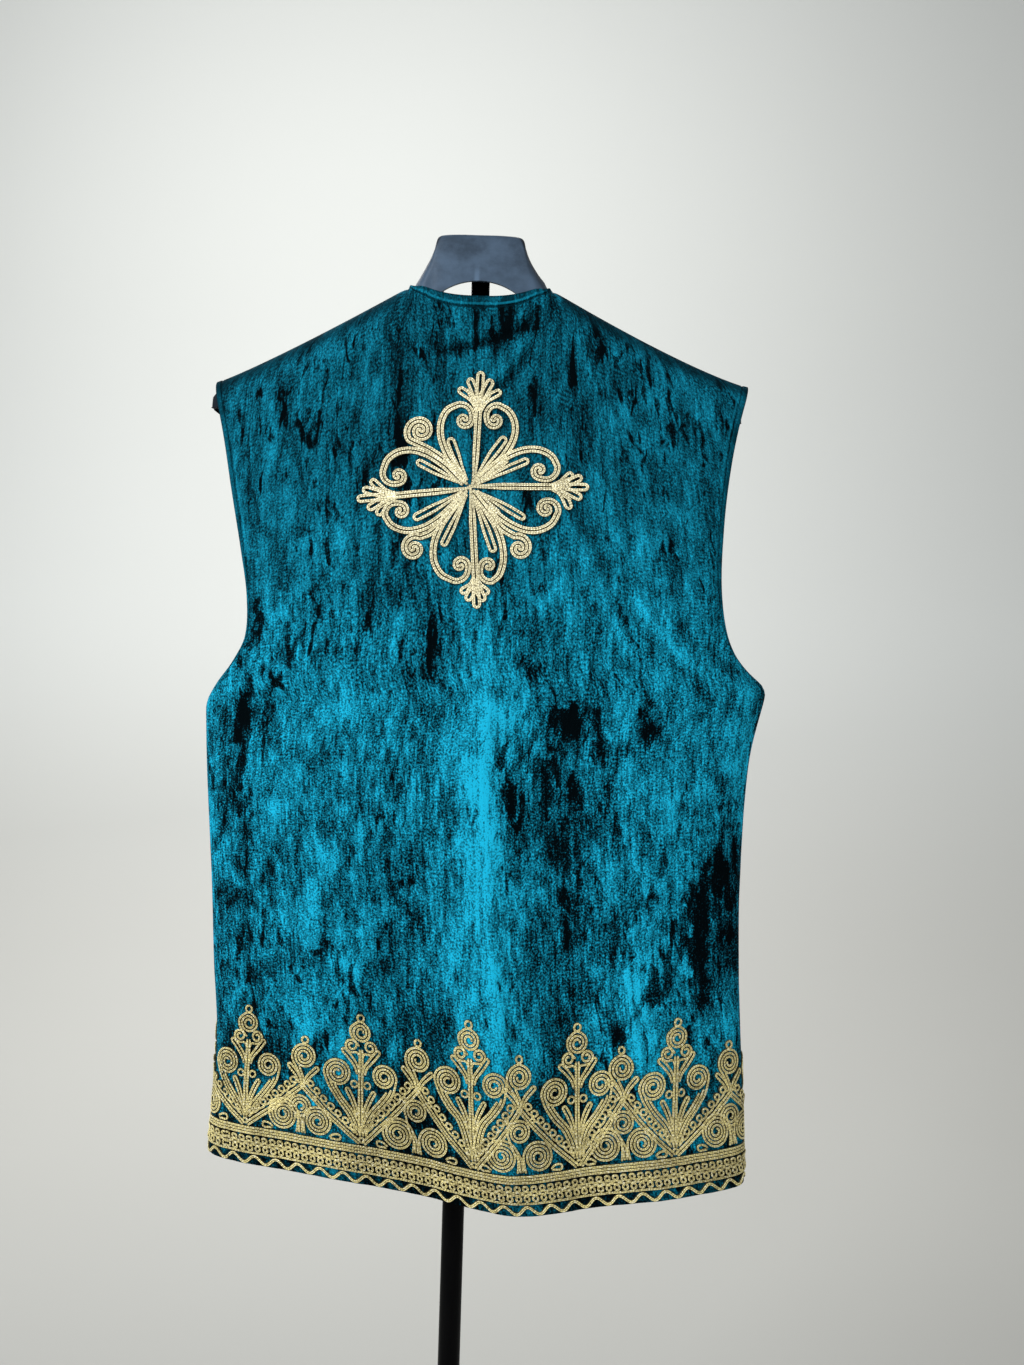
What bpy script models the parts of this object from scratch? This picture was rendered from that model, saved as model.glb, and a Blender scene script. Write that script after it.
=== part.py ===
"""Embroidered folk vest hanging on a limbless shoulder form and a telescopic stand.

Metres, +Z up.  The floor is z = 0 and the pole stands on the Z axis.  The wearer's back faces +Y,
the front faces -Y and the wearer's left side is +X.  Tables are in millimetres.

Every point of the cloth is found from two numbers.  `girth` runs round the body: 0 at the centre
back, +1 and -1 at the side seams, +2 and -2 at the centre front.  `row` runs upwards: 0 at the hem,
1 at the underarm and 2 at the shoulder line.
"""
import math
from bisect import bisect_right
from collections import namedtuple

import bpy
from mathutils import Vector
from mathutils.geometry import delaunay_2d_cdt

MM = 0.001

# ---------------------------------------------------------------- driving sizes, mm
CLOTH_WALL = 1.6
SEAM_GAP = 0.3
BRAID_HEIGHT = 1.5
BRAID_GAP = 0.5
SECTION_POWER = 2.6          # how square the flattened body is
SECTION_STEPS = 48
QUARTER_GIRTH = 256.0        # hem, centre back to side seam
BODY_HEIGHT = 410.0          # hem to underarm

UNDERARM_Z = {1: 955.2, -1: 980.0}
HEM_Z = {1: 569.0, -1: 556.2}
SHOULDER_TIP = {1: (224.1, 1231.8), -1: (-233.4, 1240.8)}
NECK_POINT = {1: (59.5, 1318.7), -1: (-57.0, 1321.6)}
SHOULDER_LINE_POWER = {1: 1.11, -1: 1.21}
NECK_BACK_Z = 1301.5
NECK_BACK_DEPTH = 40.0
NECK_SHARE = 4.0 / 14.0      # share of the half back that the neck takes
NECK_PLAN_POWER = 3.5
NECK_RISE_POWER = 2.8
SHOULDER_ROUND = 45.0        # height over which the cloth rounds over the form
HEM_SAG = 24.0               # the hem's dip at the centre back
HEM_SAG_REACH = 0.46
HEM_SAG_ROW = 0.2            # the dip fades above this row
TWIST_HELD_ROW = 0.55        # above this row the side seams stay where they are

FRONT_EDGE_SHARE = 0.028     # front opening, as a share of the half front
FRONT_V_ROW = 1.36           # the front neckline ends here

BodyRow = namedtuple("BodyRow", "row left_x right_x back_depth front_depth")
BODY_ROWS = (
    BodyRow(0.00, 212.0, -250.4, 44.0, 45.0),
    BodyRow(0.25, 208.2, -245.0, 43.0, 45.0),
    BodyRow(0.42, 212.7, -241.0, 42.0, 45.0),
    BodyRow(0.60, 216.5, -239.5, 42.0, 46.0),
    BodyRow(0.85, 223.5, -244.0, 44.0, 48.0),
    BodyRow(1.00, 226.3, -257.7, 45.0, 49.0),
)
ArmholeRow = namedtuple("ArmholeRow", "row left_x right_x back_depth front_depth edge_depth")
ARMHOLE_ROWS = (
    ArmholeRow(1.00, 226.3, -257.7, 45.0, 49.0, 0.0),
    ArmholeRow(1.06, 214.0, -238.2, 45.5, 49.0, 13.0),
    ArmholeRow(1.12, 200.4, -225.2, 46.0, 49.0, 21.0),
    ArmholeRow(1.20, 188.7, -216.5, 46.5, 49.0, 27.0),
    ArmholeRow(1.32, 187.2, -211.3, 47.0, 48.0, 31.0),
    ArmholeRow(1.45, 192.2, -210.5, 47.0, 47.0, 33.0),
    ArmholeRow(1.65, 202.3, -213.6, 46.0, 45.0, 34.0),
    ArmholeRow(1.85, 212.3, -221.6, 44.0, 43.0, 35.0),
    ArmholeRow(2.00, 224.1, -233.4, 43.0, 43.0, 36.0),
)
# The cloth is turned round the body, more and more towards the hem.
TwistRow = namedtuple("TwistRow", "row shift")
TWIST_ROWS = (
    TwistRow(0.00, -37.0),
    TwistRow(0.17, -25.0),
    TwistRow(0.35, -19.0),
    TwistRow(0.60, -14.0),
    TwistRow(0.87, -8.0),
    TwistRow(1.20, -2.0),
    TwistRow(1.50, 0.0),
    TwistRow(2.00, 0.0),
)
# Largest folds: soft ridges (height > 0) and troughs (height < 0), widths in girth units.
Fold = namedtuple("Fold", "top_girth top_row low_girth low_row height width")
FOLDS = (
    Fold(0.02, 1.32, 0.00, 0.00, 5.0, 0.11),
    Fold(-0.24, 1.05, -0.26, 0.00, -4.0, 0.12),
    Fold(-0.56, 0.95, -0.52, 0.00, 3.5, 0.13),
    Fold(0.27, 0.90, 0.30, 0.00, -3.5, 0.12),
    Fold(0.58, 0.85, 0.62, 0.00, 3.0, 0.12),
    Fold(0.84, 1.00, 0.86, 0.40, -2.5, 0.06),
    Fold(-0.60, 1.34, -0.86, 1.02, 2.5, 0.06),
    Fold(1.42, 0.95, 1.45, 0.00, 4.5, 0.13),
    Fold(1.70, 0.80, 1.72, 0.00, -3.5, 0.10),
    Fold(-1.38, 0.90, -1.36, 0.00, 4.0, 0.13),
    Fold(-1.66, 1.00, -1.70, 0.00, -4.0, 0.11),
)
FOLD_FADE = 0.35             # rows over which a fold starts

HALF_BACK_COLUMNS = 14
NECK_COLUMNS = (0.25, 0.272)     # extra columns where the neckline turns
FRONT_COLUMNS = 11
BODY_ROW_COUNT = 11
UPPER_ROWS = (1.05, 1.11, 1.18, 1.28, 1.40, 1.52, 1.64, 1.76, 1.85, 1.907, 1.95, 1.98, 1.995, 2.0)

# ---------------------------------------------------------------- embroidery sizes, mm
BAND_BOTTOM = 9.5
BAND_TOP = 34.0
TREE_FIELD = 41.0            # solid braid field above the band
SEAM_MARGIN = 0.8
SEAM_REACH = 5.0             # a tree this near a panel's edge is drawn on that panel too
UPWARD = math.pi / 2
WAVE_LENGTH = 20.0
WAVE_SWING = 3.0
WAVE_MIDDLE = 4.9
WAVE_CORD = 2.8
TREE_STEM_WIDTH = 6.0
TREE_STEM_DROP = 15.0        # from the tip to the top of the stem
TreeCurl = namedtuple("TreeCurl", "across drop radius sides")
TreeLeaf = namedtuple("TreeLeaf", "drop angle length width")
TreeKind = namedtuple("TreeKind", "curls leaves foot_drop field_share")
BIG_TREE = TreeKind((TreeCurl(0.0, 5.5, 5.5, 5), TreeCurl(0.0, 18.0, 10.5, 6),
                     TreeCurl(-9.0, 31.5, 8.0, 6), TreeCurl(9.0, 31.5, 8.0, 6),
                     TreeCurl(-18.0, 56.0, 12.5, 7), TreeCurl(18.0, 56.0, 12.5, 7)),
                    (TreeLeaf(56.0, 46.0, 26.0, 8.0), TreeLeaf(103.0, 56.0, 47.0, 9.0)),
                    90.0, 0.85)
SMALL_TREE = TreeKind((TreeCurl(0.0, 5.5, 5.5, 5), TreeCurl(0.0, 18.5, 11.0, 6)),
                      (TreeLeaf(47.0, 50.0, 26.0, 8.0),), 61.0, 1.25)
FIELD_END_SHARE = 1.1        # the field's height at the side seams
LEAF_SHAPE = ((0.0, 0.25), (0.75, 0.5), (1.0, 0.2))      # along the leaf, half width
# A tree's foot and tip: arcs round the cloth from the centre back, which lean with its twist.
Tree = namedtuple("Tree", "arc tip_arc tip_height kind")
TREES = (
    Tree(-480.0, -480.0, 131.0, SMALL_TREE), Tree(-440.0, -440.0, 149.0, BIG_TREE),
    Tree(-394.0, -394.0, 131.0, SMALL_TREE), Tree(-348.0, -349.0, 149.0, BIG_TREE),
    Tree(-302.0, -302.0, 129.0, SMALL_TREE), Tree(-256.0, -256.0, 147.0, BIG_TREE),
    Tree(-200.0, -208.0, 122.0, SMALL_TREE), Tree(-143.7, -160.9, 145.6, BIG_TREE),
    Tree(-101.0, -108.7, 128.5, SMALL_TREE), Tree(-59.9, -72.0, 150.8, BIG_TREE),
    Tree(-9.7, -17.9, 131.7, SMALL_TREE), Tree(30.8, 23.6, 158.1, BIG_TREE),
    Tree(82.0, 71.5, 134.4, SMALL_TREE), Tree(130.2, 121.3, 146.8, BIG_TREE),
    Tree(184.0, 173.0, 121.1, SMALL_TREE), Tree(235.6, 224.8, 140.6, BIG_TREE),
    Tree(289.0, 282.0, 124.0, SMALL_TREE), Tree(338.0, 333.0, 146.0, BIG_TREE),
    Tree(386.0, 383.0, 129.0, SMALL_TREE), Tree(434.0, 433.0, 149.0, BIG_TREE),
    Tree(480.0, 480.0, 131.0, SMALL_TREE),
)

MEDALLION_CENTRE = (2.2, 1140.8)
MEDALLION_GAP = 0.6
ARM_ANGLES = (87.8, 2.9, -84.0, 187.8)
ARM_STEM = 66.0
ARM_STEM_WIDTH = 8.5
FAN_BASE = 60.0
FanLobe = namedtuple("FanLobe", "angle length width")
FAN_LOBES = (FanLobe(0.0, 39.0, 8.0), FanLobe(25.0, 32.0, 7.5), FanLobe(-25.0, 32.0, 7.5),
             FanLobe(47.0, 26.0, 7.0), FanLobe(-47.0, 26.0, 7.0))
ScrollPoint = namedtuple("ScrollPoint", "along across")
SCROLL = (ScrollPoint(5.0, 3.0), ScrollPoint(24.0, 17.5), ScrollPoint(41.0, 27.5),
          ScrollPoint(56.0, 29.0), ScrollPoint(67.0, 21.5), ScrollPoint(67.0, 12.0))
SCROLL_WIDTH = 8.5
SCROLL_EYE = (58.0, 12.5)
SCROLL_EYE_RADIUS = 9.0
Loop = namedtuple("Loop", "angle length")
LOOPS = (Loop(115.0, 45.0), Loop(58.0, 50.0), Loop(28.0, 54.0), Loop(-27.5, 54.0),
         Loop(-66.5, 57.0), Loop(-110.0, 54.0), Loop(-144.6, 54.0), Loop(156.0, 48.0))
LOOP_START = 9.0
LOOP_WIDTH = 9.0
OuterCurl = namedtuple("OuterCurl", "across up radius")
OUTER_CURLS = (OuterCurl(-43.0, 44.0, 12.0), OuterCurl(-42.5, -54.5, 11.3),
               OuterCurl(44.0, -47.6, 10.6))
OUTER_CURL_SIDES = 8
OUTER_CORD_WIDTH = 9.0
OUTER_CORD_SHARE = 0.9
SCROLL_EYE_SIDES = 7
KNOT_RADIUS = 14.0
ARMHOLE_BRAID_WIDTH = 10.0
ARMHOLE_BRAID_INSET = 2.0

# ---------------------------------------------------------------- stand sizes, mm
FORM_WALL = 3.0
FORM_TOP = 1359.7
FORM_CLEARANCE = 0.5
ARCH_HALF = 56.0
ARCH_SPRING = 1262.0
BACK_ARCH_RISE = 56.0
FRONT_ARCH_RISE = 83.0
FORM_TIP = 229.5
FORM_TIP_RIM = 1204.0
TIP_ROUND_START = 165.0
TIP_TAPER_POWER = 2.4
TIP_HALF_DEPTH = 5.0
TIP_DROP = 10.0
TIP_DROP_POWER = 8
# Neck block: outline and section down one side.
FormRow = namedtuple("FormRow", "x top half_depth round_height power")
NECK_BLOCK = (
    FormRow(0.0, 1359.7, 32.0, 12.0, 4.5),
    FormRow(17.0, 1359.7, 32.0, 12.0, 4.5),
    FormRow(30.0, 1359.5, 31.5, 13.0, 4.0),
    FormRow(36.0, 1357.8, 30.5, 15.0, 3.6),
    FormRow(38.5, 1352.0, 29.5, 18.0, 3.2),
    FormRow(41.5, 1344.6, 29.0, 22.0, 3.0),
    FormRow(46.0, 1336.5, 29.0, 27.0, 2.6),
    FormRow(50.5, 1328.8, 29.5, 33.0, 2.2),
    FormRow(54.5, 1321.6, 31.0, 38.0, 2.0),
)
SHOULDER_STATIONS = (60.0, 74.0, 100.0, 130.0, 160.0, 190.0, 211.0, 222.5, 227.5, 229.5)
SHOULDER_HALF_DEPTH = 35.0
SHOULDER_ROUND_HEIGHT = 43.5
SHOULDER_POWER = 2.0
FORM_SECTION_POINTS = 4      # segments on each side of the ridge

UPPER_TUBE_RADIUS = 7.95
UPPER_TUBE_BOTTOM = 720.0
LOWER_TUBE_RADIUS = 9.525
TUBE_WALL = 1.2
LOWER_TUBE_TOP = 1000.0
TUBE_SIDES = 28
COLLAR_RADIUS = 15.0
COLLAR_HEIGHT = 34.0
COLLAR_OVERLAP = 24.0        # how far the collar grips the lower tube
KNOB_RADIUS = 9.0
KNOB_LENGTH = 14.0
KNOB_BEVEL = 1.5
KNOB_SIDES = 16
BASE_RADIUS = 150.0
BASE_HEIGHT = 8.0
BASE_BEVEL = 2.0
BASE_SIDES = 64
SHARP_ANGLE = math.radians(35.0)
PART_GAP = 0.3

VELVET = ("velvet", (0.004, 0.115, 0.17), 0.75, 0.0)
GOLD_BRAID = ("gold_braid", (0.42, 0.36, 0.17), 0.45, 0.55)
FORM_PLASTIC = ("form_plastic", (0.065, 0.08, 0.11), 0.4, 0.0)
BLACK_METAL = ("black_metal", (0.012, 0.012, 0.014), 0.35, 0.6)


# ---------------------------------------------------------------- small helpers
def clear_scene():
    for thing in list(bpy.data.objects):
        bpy.data.objects.remove(thing, do_unlink=True)


def material(name, colour, roughness, metallic):
    finish = bpy.data.materials.get(name) or bpy.data.materials.new(name)
    finish.use_nodes = True
    shader = finish.node_tree.nodes["Principled BSDF"]
    shader.inputs["Base Color"].default_value = (*colour, 1.0)
    shader.inputs["Roughness"].default_value = roughness
    shader.inputs["Metallic"].default_value = metallic
    return finish


def add_object(name, points, faces, finish, smooth=True):
    """One named solid from points in millimetres."""
    mesh = bpy.data.meshes.new(name)
    mesh.from_pydata([Vector(point) * MM for point in points], [], faces)
    mesh.materials.append(material(*finish))
    if smooth:
        mesh.shade_smooth()
    thing = bpy.data.objects.new(name, mesh)
    bpy.context.scene.collection.objects.link(thing)
    return thing


def smoothstep(low, high, value):
    share = min(max((value - low) / (high - low), 0.0), 1.0)
    return share * share * (3.0 - 2.0 * share)


def along(table, place, column, key="row"):
    """Smooth curve through one column of a table, read at a place of its key column."""
    spots = [getattr(entry, key) for entry in table]
    values = [getattr(entry, column) for entry in table]
    last = len(spots) - 1
    place = min(max(place, spots[0]), spots[last])
    index = max(i for i in range(last) if spots[i] <= place or i == 0)

    def slope(i):
        before, after = max(i - 1, 0), min(i + 1, last)
        return (values[after] - values[before]) / (spots[after] - spots[before])

    span = spots[index + 1] - spots[index]
    t = (place - spots[index]) / span
    start, end = values[index], values[index + 1]
    return ((2 * t**3 - 3 * t**2 + 1) * start + (t**3 - 2 * t**2 + t) * span * slope(index)
            + (3 * t**2 - 2 * t**3) * end + (t**3 - t**2) * span * slope(index + 1))


# ---------------------------------------------------------------- the cloth's surface
QUARTERS = {}


def quarter(row, back):
    """Half width, depths and arc lengths of a quarter section, from the middle to the side."""
    key = (round(row, 5), back)
    if key not in QUARTERS:
        table = BODY_ROWS if row <= 1.0 else ARMHOLE_ROWS
        left, right = along(table, row, "left_x"), along(table, row, "right_x")
        depth = along(table, row, "back_depth" if back else "front_depth")
        edge = along(table, row, "edge_depth") if row > 1.0 else 0.0
        half = (left - right) / 2.0
        points = []
        for step in range(SECTION_STEPS + 1):
            angle = math.pi / 2 * step / SECTION_STEPS
            x = half * abs(math.sin(angle)) ** (2 / SECTION_POWER)
            y = edge + (depth - edge) * abs(math.cos(angle)) ** (2 / SECTION_POWER)
            points.append((x, y))
        lengths = [0.0]
        for (x0, y0), (x1, y1) in zip(points, points[1:]):
            lengths.append(lengths[-1] + math.hypot(x1 - x0, y1 - y0))
        QUARTERS[key] = ((left + right) / 2.0, points, lengths)
    return QUARTERS[key]


def section_point(girth, row):
    """Plan position (x, distance from the middle plane, +1 back or -1 front) of the bare body."""
    girth = (girth + 2.0) % 4.0 - 2.0
    side = 1 if girth >= 0 else -1
    back = abs(girth) <= 1.0
    share = abs(girth) if back else 2.0 - abs(girth)
    middle, points, lengths = quarter(row, back)
    target = max(share, 0.0) * lengths[-1]
    index = 0
    while index < SECTION_STEPS - 1 and lengths[index + 1] < target:
        index += 1
    t = (target - lengths[index]) / (lengths[index + 1] - lengths[index])
    x = points[index][0] * (1 - t) + points[index + 1][0] * t
    y = points[index][1] * (1 - t) + points[index + 1][1] * t
    return middle + side * x, y, 1 if back else -1


def shoulder_line(x):
    """Height of the shoulder seam at x."""
    side = 1 if x >= 0 else -1
    (neck_x, neck_z), (tip_x, tip_z) = NECK_POINT[side], SHOULDER_TIP[side]
    share = min(max((x - neck_x) / (tip_x - neck_x), 0.0), 1.0)
    return tip_z + (neck_z - tip_z) * (1 - share) ** SHOULDER_LINE_POWER[side]


def top_edge(girth):
    """Point of the top edge in column `girth`: x, depth, z."""
    side = 1 if girth >= 0 else -1
    back = abs(girth) <= 1.0
    share = abs(girth) if back else 2.0 - abs(girth)
    (neck_x, neck_z), (tip_x, _) = NECK_POINT[side], SHOULDER_TIP[side]
    seam = SEAM_GAP / 2
    if share >= NECK_SHARE:
        x = neck_x + (tip_x - neck_x) * (share - NECK_SHARE) / (1 - NECK_SHARE)
        return x, seam, shoulder_line(x)
    part = share / NECK_SHARE
    depth = seam + NECK_BACK_DEPTH * (1 - part**NECK_PLAN_POWER) ** (1 / NECK_PLAN_POWER)
    return neck_x * part, depth, NECK_BACK_Z + (neck_z - NECK_BACK_Z) * part**NECK_RISE_POWER


def fold_height(girth, row):
    total = 0.0
    for fold in FOLDS:
        if row > fold.top_row:
            continue
        t = (fold.top_row - row) / (fold.top_row - fold.low_row)
        centre = fold.top_girth + (fold.low_girth - fold.top_girth) * min(t, 1.0)
        fade = smoothstep(0.0, FOLD_FADE, fold.top_row - row)
        if fold.low_row > 0.0:
            fade *= smoothstep(-FOLD_FADE, 0.0, row - fold.low_row)
        total += fold.height * fade * math.exp(-((girth - centre) / fold.width) ** 2)
    return total


def level(x, heights, row_x):
    """Height on the straight line between the two side points."""
    left, right = row_x
    share = (x - right) / (left - right)
    return heights[-1] + (heights[1] - heights[-1]) * share


def cloth_point(girth, row):
    """Mid-surface point of the cloth, mm."""
    distance = abs(girth) if abs(girth) <= 1.0 else 2.0 - abs(girth)
    held = 1.0 - smoothstep(TWIST_HELD_ROW, 1.0, row)
    shift = along(TWIST_ROWS, row, "shift") / QUARTER_GIRTH * (1.0 - distance**2 * (1.0 - held))
    if row > 1.0 and abs(girth) > 1.0:
        shift = -shift
    x, depth, facing = section_point(girth + shift, row)
    depth += fold_height(girth, row)
    if row <= 1.0:
        table = BODY_ROWS
        row_x = (along(table, row, "left_x"), along(table, row, "right_x"))
        low = level(x, HEM_Z, row_x)
        high = level(x, UNDERARM_Z, row_x)
        sag = HEM_SAG * math.exp(-((girth / HEM_SAG_REACH) ** 2))
        z = low + (high - low) * row - sag * (1.0 - smoothstep(HEM_SAG_ROW, 1.0, row))
        return Vector((x, facing * depth, z))
    top_x, top_depth, top_z = top_edge(girth)
    rise = row - 1.0
    x += (top_x - section_point(girth, 2.0)[0]) * rise**2
    row_x = (BODY_ROWS[-1].left_x, BODY_ROWS[-1].right_x)
    base = level(x, UNDERARM_Z, row_x)
    z = base + (top_z - base) * rise
    drop = min((top_z - z) / SHOULDER_ROUND, 1.0)
    rounding = math.sqrt(max(1.0 - (1.0 - drop) ** 2, 0.0))
    depth = top_depth + (depth - top_depth) * rounding
    return Vector((x, facing * depth, z))


def cloth_normal(girth, row, first, last):
    """Outward normal, read from nearby points.  Above the underarm it stays on its own panel."""
    step = 0.002
    row_step = 0.0004
    low_girth, high_girth = girth - step, girth + step
    if row > 1.0:
        low_girth, high_girth = max(low_girth, first), min(high_girth, last)
    low_row, high_row = max(row - row_step, 0.0), min(row + row_step, 2.0)
    across = cloth_point(high_girth, row) - cloth_point(low_girth, row)
    upward = cloth_point(girth, high_row) - cloth_point(girth, low_row)
    return upward.cross(across).normalized()


# ---------------------------------------------------------------- cloth panels
def panel_rows():
    return [row / BODY_ROW_COUNT for row in range(BODY_ROW_COUNT + 1)] + list(UPPER_ROWS)


def seam_share():
    return SEAM_GAP / 2 / QUARTER_GIRTH


def front_edge(row):
    """Share of the half front that is open at this row."""
    rise = max(row - FRONT_V_ROW, 0.0) / (2.0 - FRONT_V_ROW)
    return FRONT_EDGE_SHARE + (NECK_SHARE - FRONT_EDGE_SHARE) * rise**1.2


def back_limits(_row):
    return -1.0 + seam_share(), 1.0 - seam_share()


def front_left_limits(row):
    return 1.0 + seam_share(), 2.0 - front_edge(row)


def front_right_limits(row):
    return -2.0 + front_edge(row), -1.0 - seam_share()


class Panel:
    """A cut piece of cloth: a grid of points with an outer and an inner face."""

    def __init__(self, name, limits, stops):
        self.name, self.limits, self.stops = name, limits, stops
        self.columns = len(stops) - 1
        self.rows = panel_rows()
        self.middle, self.normals = [], []
        for row in self.rows:
            first, last = limits(row)
            girths = [first + (last - first) * stop for stop in stops]
            self.middle.append([cloth_point(girth, row) for girth in girths])
            self.normals.append([cloth_normal(girth, row, first, last) for girth in girths])

    def skin(self, offset):
        return [[point + normal * offset for point, normal in zip(points, normals)]
                for points, normals in zip(self.middle, self.normals)]

    def build(self):
        wide, high = self.columns + 1, len(self.rows)
        outer, inner = self.skin(CLOTH_WALL / 2), self.skin(-CLOTH_WALL / 2)
        points = [p for line in outer for p in line] + [p for line in inner for p in line]
        count = wide * high
        faces = []
        for j in range(high - 1):
            for i in range(wide - 1):
                a, b = j * wide + i, j * wide + i + 1
                c, d = b + wide, a + wide
                faces += [(a, d, c), (a, c, b)]
                faces += [(a + count, c + count, d + count), (a + count, b + count, c + count)]
        rim = [i for i in range(wide)] + [j * wide + wide - 1 for j in range(1, high)]
        rim += [(high - 1) * wide + i for i in range(wide - 2, -1, -1)]
        rim += [j * wide for j in range(high - 2, 0, -1)]
        for a, b in zip(rim, rim[1:] + rim[:1]):
            faces += [(a, b, b + count), (a, b + count, a + count)]
        return add_object(self.name, points, faces, VELVET)

    def at_grid(self, column, line):
        """Outer point and normal at fractional grid coordinates, on the facets themselves."""
        i = min(max(int(column), 0), self.columns - 1)
        j = min(max(int(line), 0), len(self.rows) - 2)
        s, t = column - i, line - j
        if t >= s:
            corners = ((j, i, 1 - t), (j + 1, i, t - s), (j + 1, i + 1, s))
        else:
            corners = ((j, i, 1 - s), (j + 1, i + 1, t), (j, i + 1, s - t))
        point, normal = Vector((0, 0, 0)), Vector((0, 0, 0))
        for row, col, weight in corners:
            direction = self.normals[row][col]
            point += (self.middle[row][col] + direction * (CLOTH_WALL / 2)) * weight
            normal += direction * weight
        return point, normal.normalized()

    def at_hem(self, arc, height):
        """Outer point and normal at an arc from the centre back and a height above the hem."""
        row = height / BODY_HEIGHT
        first, last = self.limits(row)
        share = (arc / QUARTER_GIRTH - first) / (last - first)
        i = min(max(bisect_right(self.stops, share) - 1, 0), self.columns - 1)
        column = i + (share - self.stops[i]) / (self.stops[i + 1] - self.stops[i])
        return self.at_grid(column, row * BODY_ROW_COUNT)

    def at_view(self, x, z):
        """Outer point and normal where a line along Y meets the panel at x, z."""
        wide = self.columns
        for j in range(len(self.rows) - 1):
            for i in range(wide):
                corners = ((j, i), (j + 1, i), (j + 1, i + 1), (j, i + 1))
                for trio in ((0, 1, 2), (0, 2, 3)):
                    spots = [corners[k] for k in trio]
                    flat = [self.middle[r][c] + self.normals[r][c] * (CLOTH_WALL / 2)
                            for r, c in spots]
                    weights = flat_weights(flat, x, z)
                    if weights is None:
                        continue
                    point, normal = Vector((0, 0, 0)), Vector((0, 0, 0))
                    for weight, corner, (r, c) in zip(weights, flat, spots):
                        point += corner * weight
                        normal += self.normals[r][c] * weight
                    return point, normal.normalized()
        raise ValueError("no cloth behind this point")


def flat_weights(corners, x, z):
    """Weights of x, z in a triangle seen along Y, or None outside it."""
    (ax, _, az), (bx, _, bz), (cx, _, cz) = corners
    area = (bx - ax) * (cz - az) - (cx - ax) * (bz - az)
    second = ((x - ax) * (cz - az) - (cx - ax) * (z - az)) / area
    third = ((bx - ax) * (z - az) - (x - ax) * (bz - az)) / area
    slack = -1e-6
    if second < slack or third < slack or second + third > 1 - slack:
        return None
    return 1 - second - third, second, third


# ---------------------------------------------------------------- flat shapes for braid work
def disc(x, y, radius, sides, turn=0.0):
    angles = [turn + 2 * math.pi * k / sides for k in range(sides)]
    return [(x + radius * math.cos(a), y + radius * math.sin(a)) for a in angles]


def ribbon(path, width):
    """Outline of a strip of even width round a path."""
    left, right = [], []
    for k, (x, y) in enumerate(path):
        x0, y0 = path[max(k - 1, 0)]
        x1, y1 = path[min(k + 1, len(path) - 1)]
        run = math.hypot(x1 - x0, y1 - y0)
        nx, ny = -(y1 - y0) / run * width / 2, (x1 - x0) / run * width / 2
        left.append((x + nx, y + ny))
        right.append((x - nx, y - ny))
    return left + right[::-1]


def leaf(x, y, angle, length, width):
    """A narrow leaf that widens towards its round end."""
    ahead, side = (math.cos(angle), math.sin(angle)), (-math.sin(angle), math.cos(angle))
    upper = [(length * a, width * b) for a, b in LEAF_SHAPE]
    lower = [(a, -b) for a, b in upper[::-1]]
    return [(x + ahead[0] * a + side[0] * b, y + ahead[1] * a + side[1] * b)
            for a, b in upper + lower]


def anticlockwise(outline):
    ahead = outline[1:] + outline[:1]
    area = sum(x0 * y1 - x1 * y0 for (x0, y0), (x1, y1) in zip(outline, ahead))
    return outline if area > 0 else outline[::-1]


def merged_border(outlines):
    """Directed border segments of overlapping outlines merged into one flat shape."""
    flat, loops = [], []
    for outline in outlines:
        start = len(flat)
        flat += [Vector(point) for point in anticlockwise(outline)]
        loops.append(list(range(start, len(flat))))
    spots, _, triangles, _, _, owners = delaunay_2d_cdt(flat, [], loops, 0, 1e-4)
    sides = {(t[k], t[(k + 1) % 3]) for t, owner in zip(triangles, owners) if owner
             for k in range(3)}
    return [(spots[a], spots[b]) for a, b in sorted(sides) if (b, a) not in sides]


def is_inside(border, x, y):
    crossings = 0
    for start, end in border:
        if (start.y > y) != (end.y > y):
            crossings += x < start.x + (y - start.y) * (end.x - start.x) / (end.y - start.y)
    return crossings % 2 == 1


def braid_plate(name, outlines, lines, keep, to_surface, gap):
    """A thin raised piece of braid work.  Overlapping outlines are merged flat, cut along `lines`,
    kept where `keep` says so, and laid on the cloth through `to_surface`."""
    border = merged_border(outlines)
    flat = [point for segment in border + lines for point in segment]
    flat = [Vector(point) for point in flat]
    edges = [(k, k + 1) for k in range(0, len(flat), 2)]
    spots, _, triangles, _, _, _ = delaunay_2d_cdt(flat, edges, [], 0, 1e-4)
    kept = []
    for triangle in triangles:
        middle = sum((spots[k] for k in triangle), Vector((0, 0))) / 3
        if keep(middle.x, middle.y) and is_inside(border, middle.x, middle.y):
            kept.append(tuple(triangle))
    used = sorted({k for triangle in kept for k in triangle})
    number = {k: n for n, k in enumerate(used)}
    lower, upper = [], []
    for k in used:
        point, normal = to_surface(spots[k].x, spots[k].y)
        lower.append(point + normal * gap)
        upper.append(point + normal * (gap + BRAID_HEIGHT))
    kept = [tuple(number[k] for k in triangle) for triangle in kept]
    facing = sum((upper[b] - upper[a]).cross(upper[c] - upper[a]).dot(upper[a] - lower[a])
                 for a, b, c in kept)
    if facing < 0:
        kept = [triangle[::-1] for triangle in kept]
    count = len(used)
    faces = [tuple(k + count for k in triangle) for triangle in kept]
    faces += [triangle[::-1] for triangle in kept]
    sides = {(t[k], t[(k + 1) % 3]) for t in kept for k in range(3)}
    for a, b in sorted(sides):
        if (b, a) not in sides:
            faces += [(a, b, b + count), (a, b + count, a + count)]
    return add_object(name, lower + upper, faces, GOLD_BRAID, smooth=False)


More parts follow.
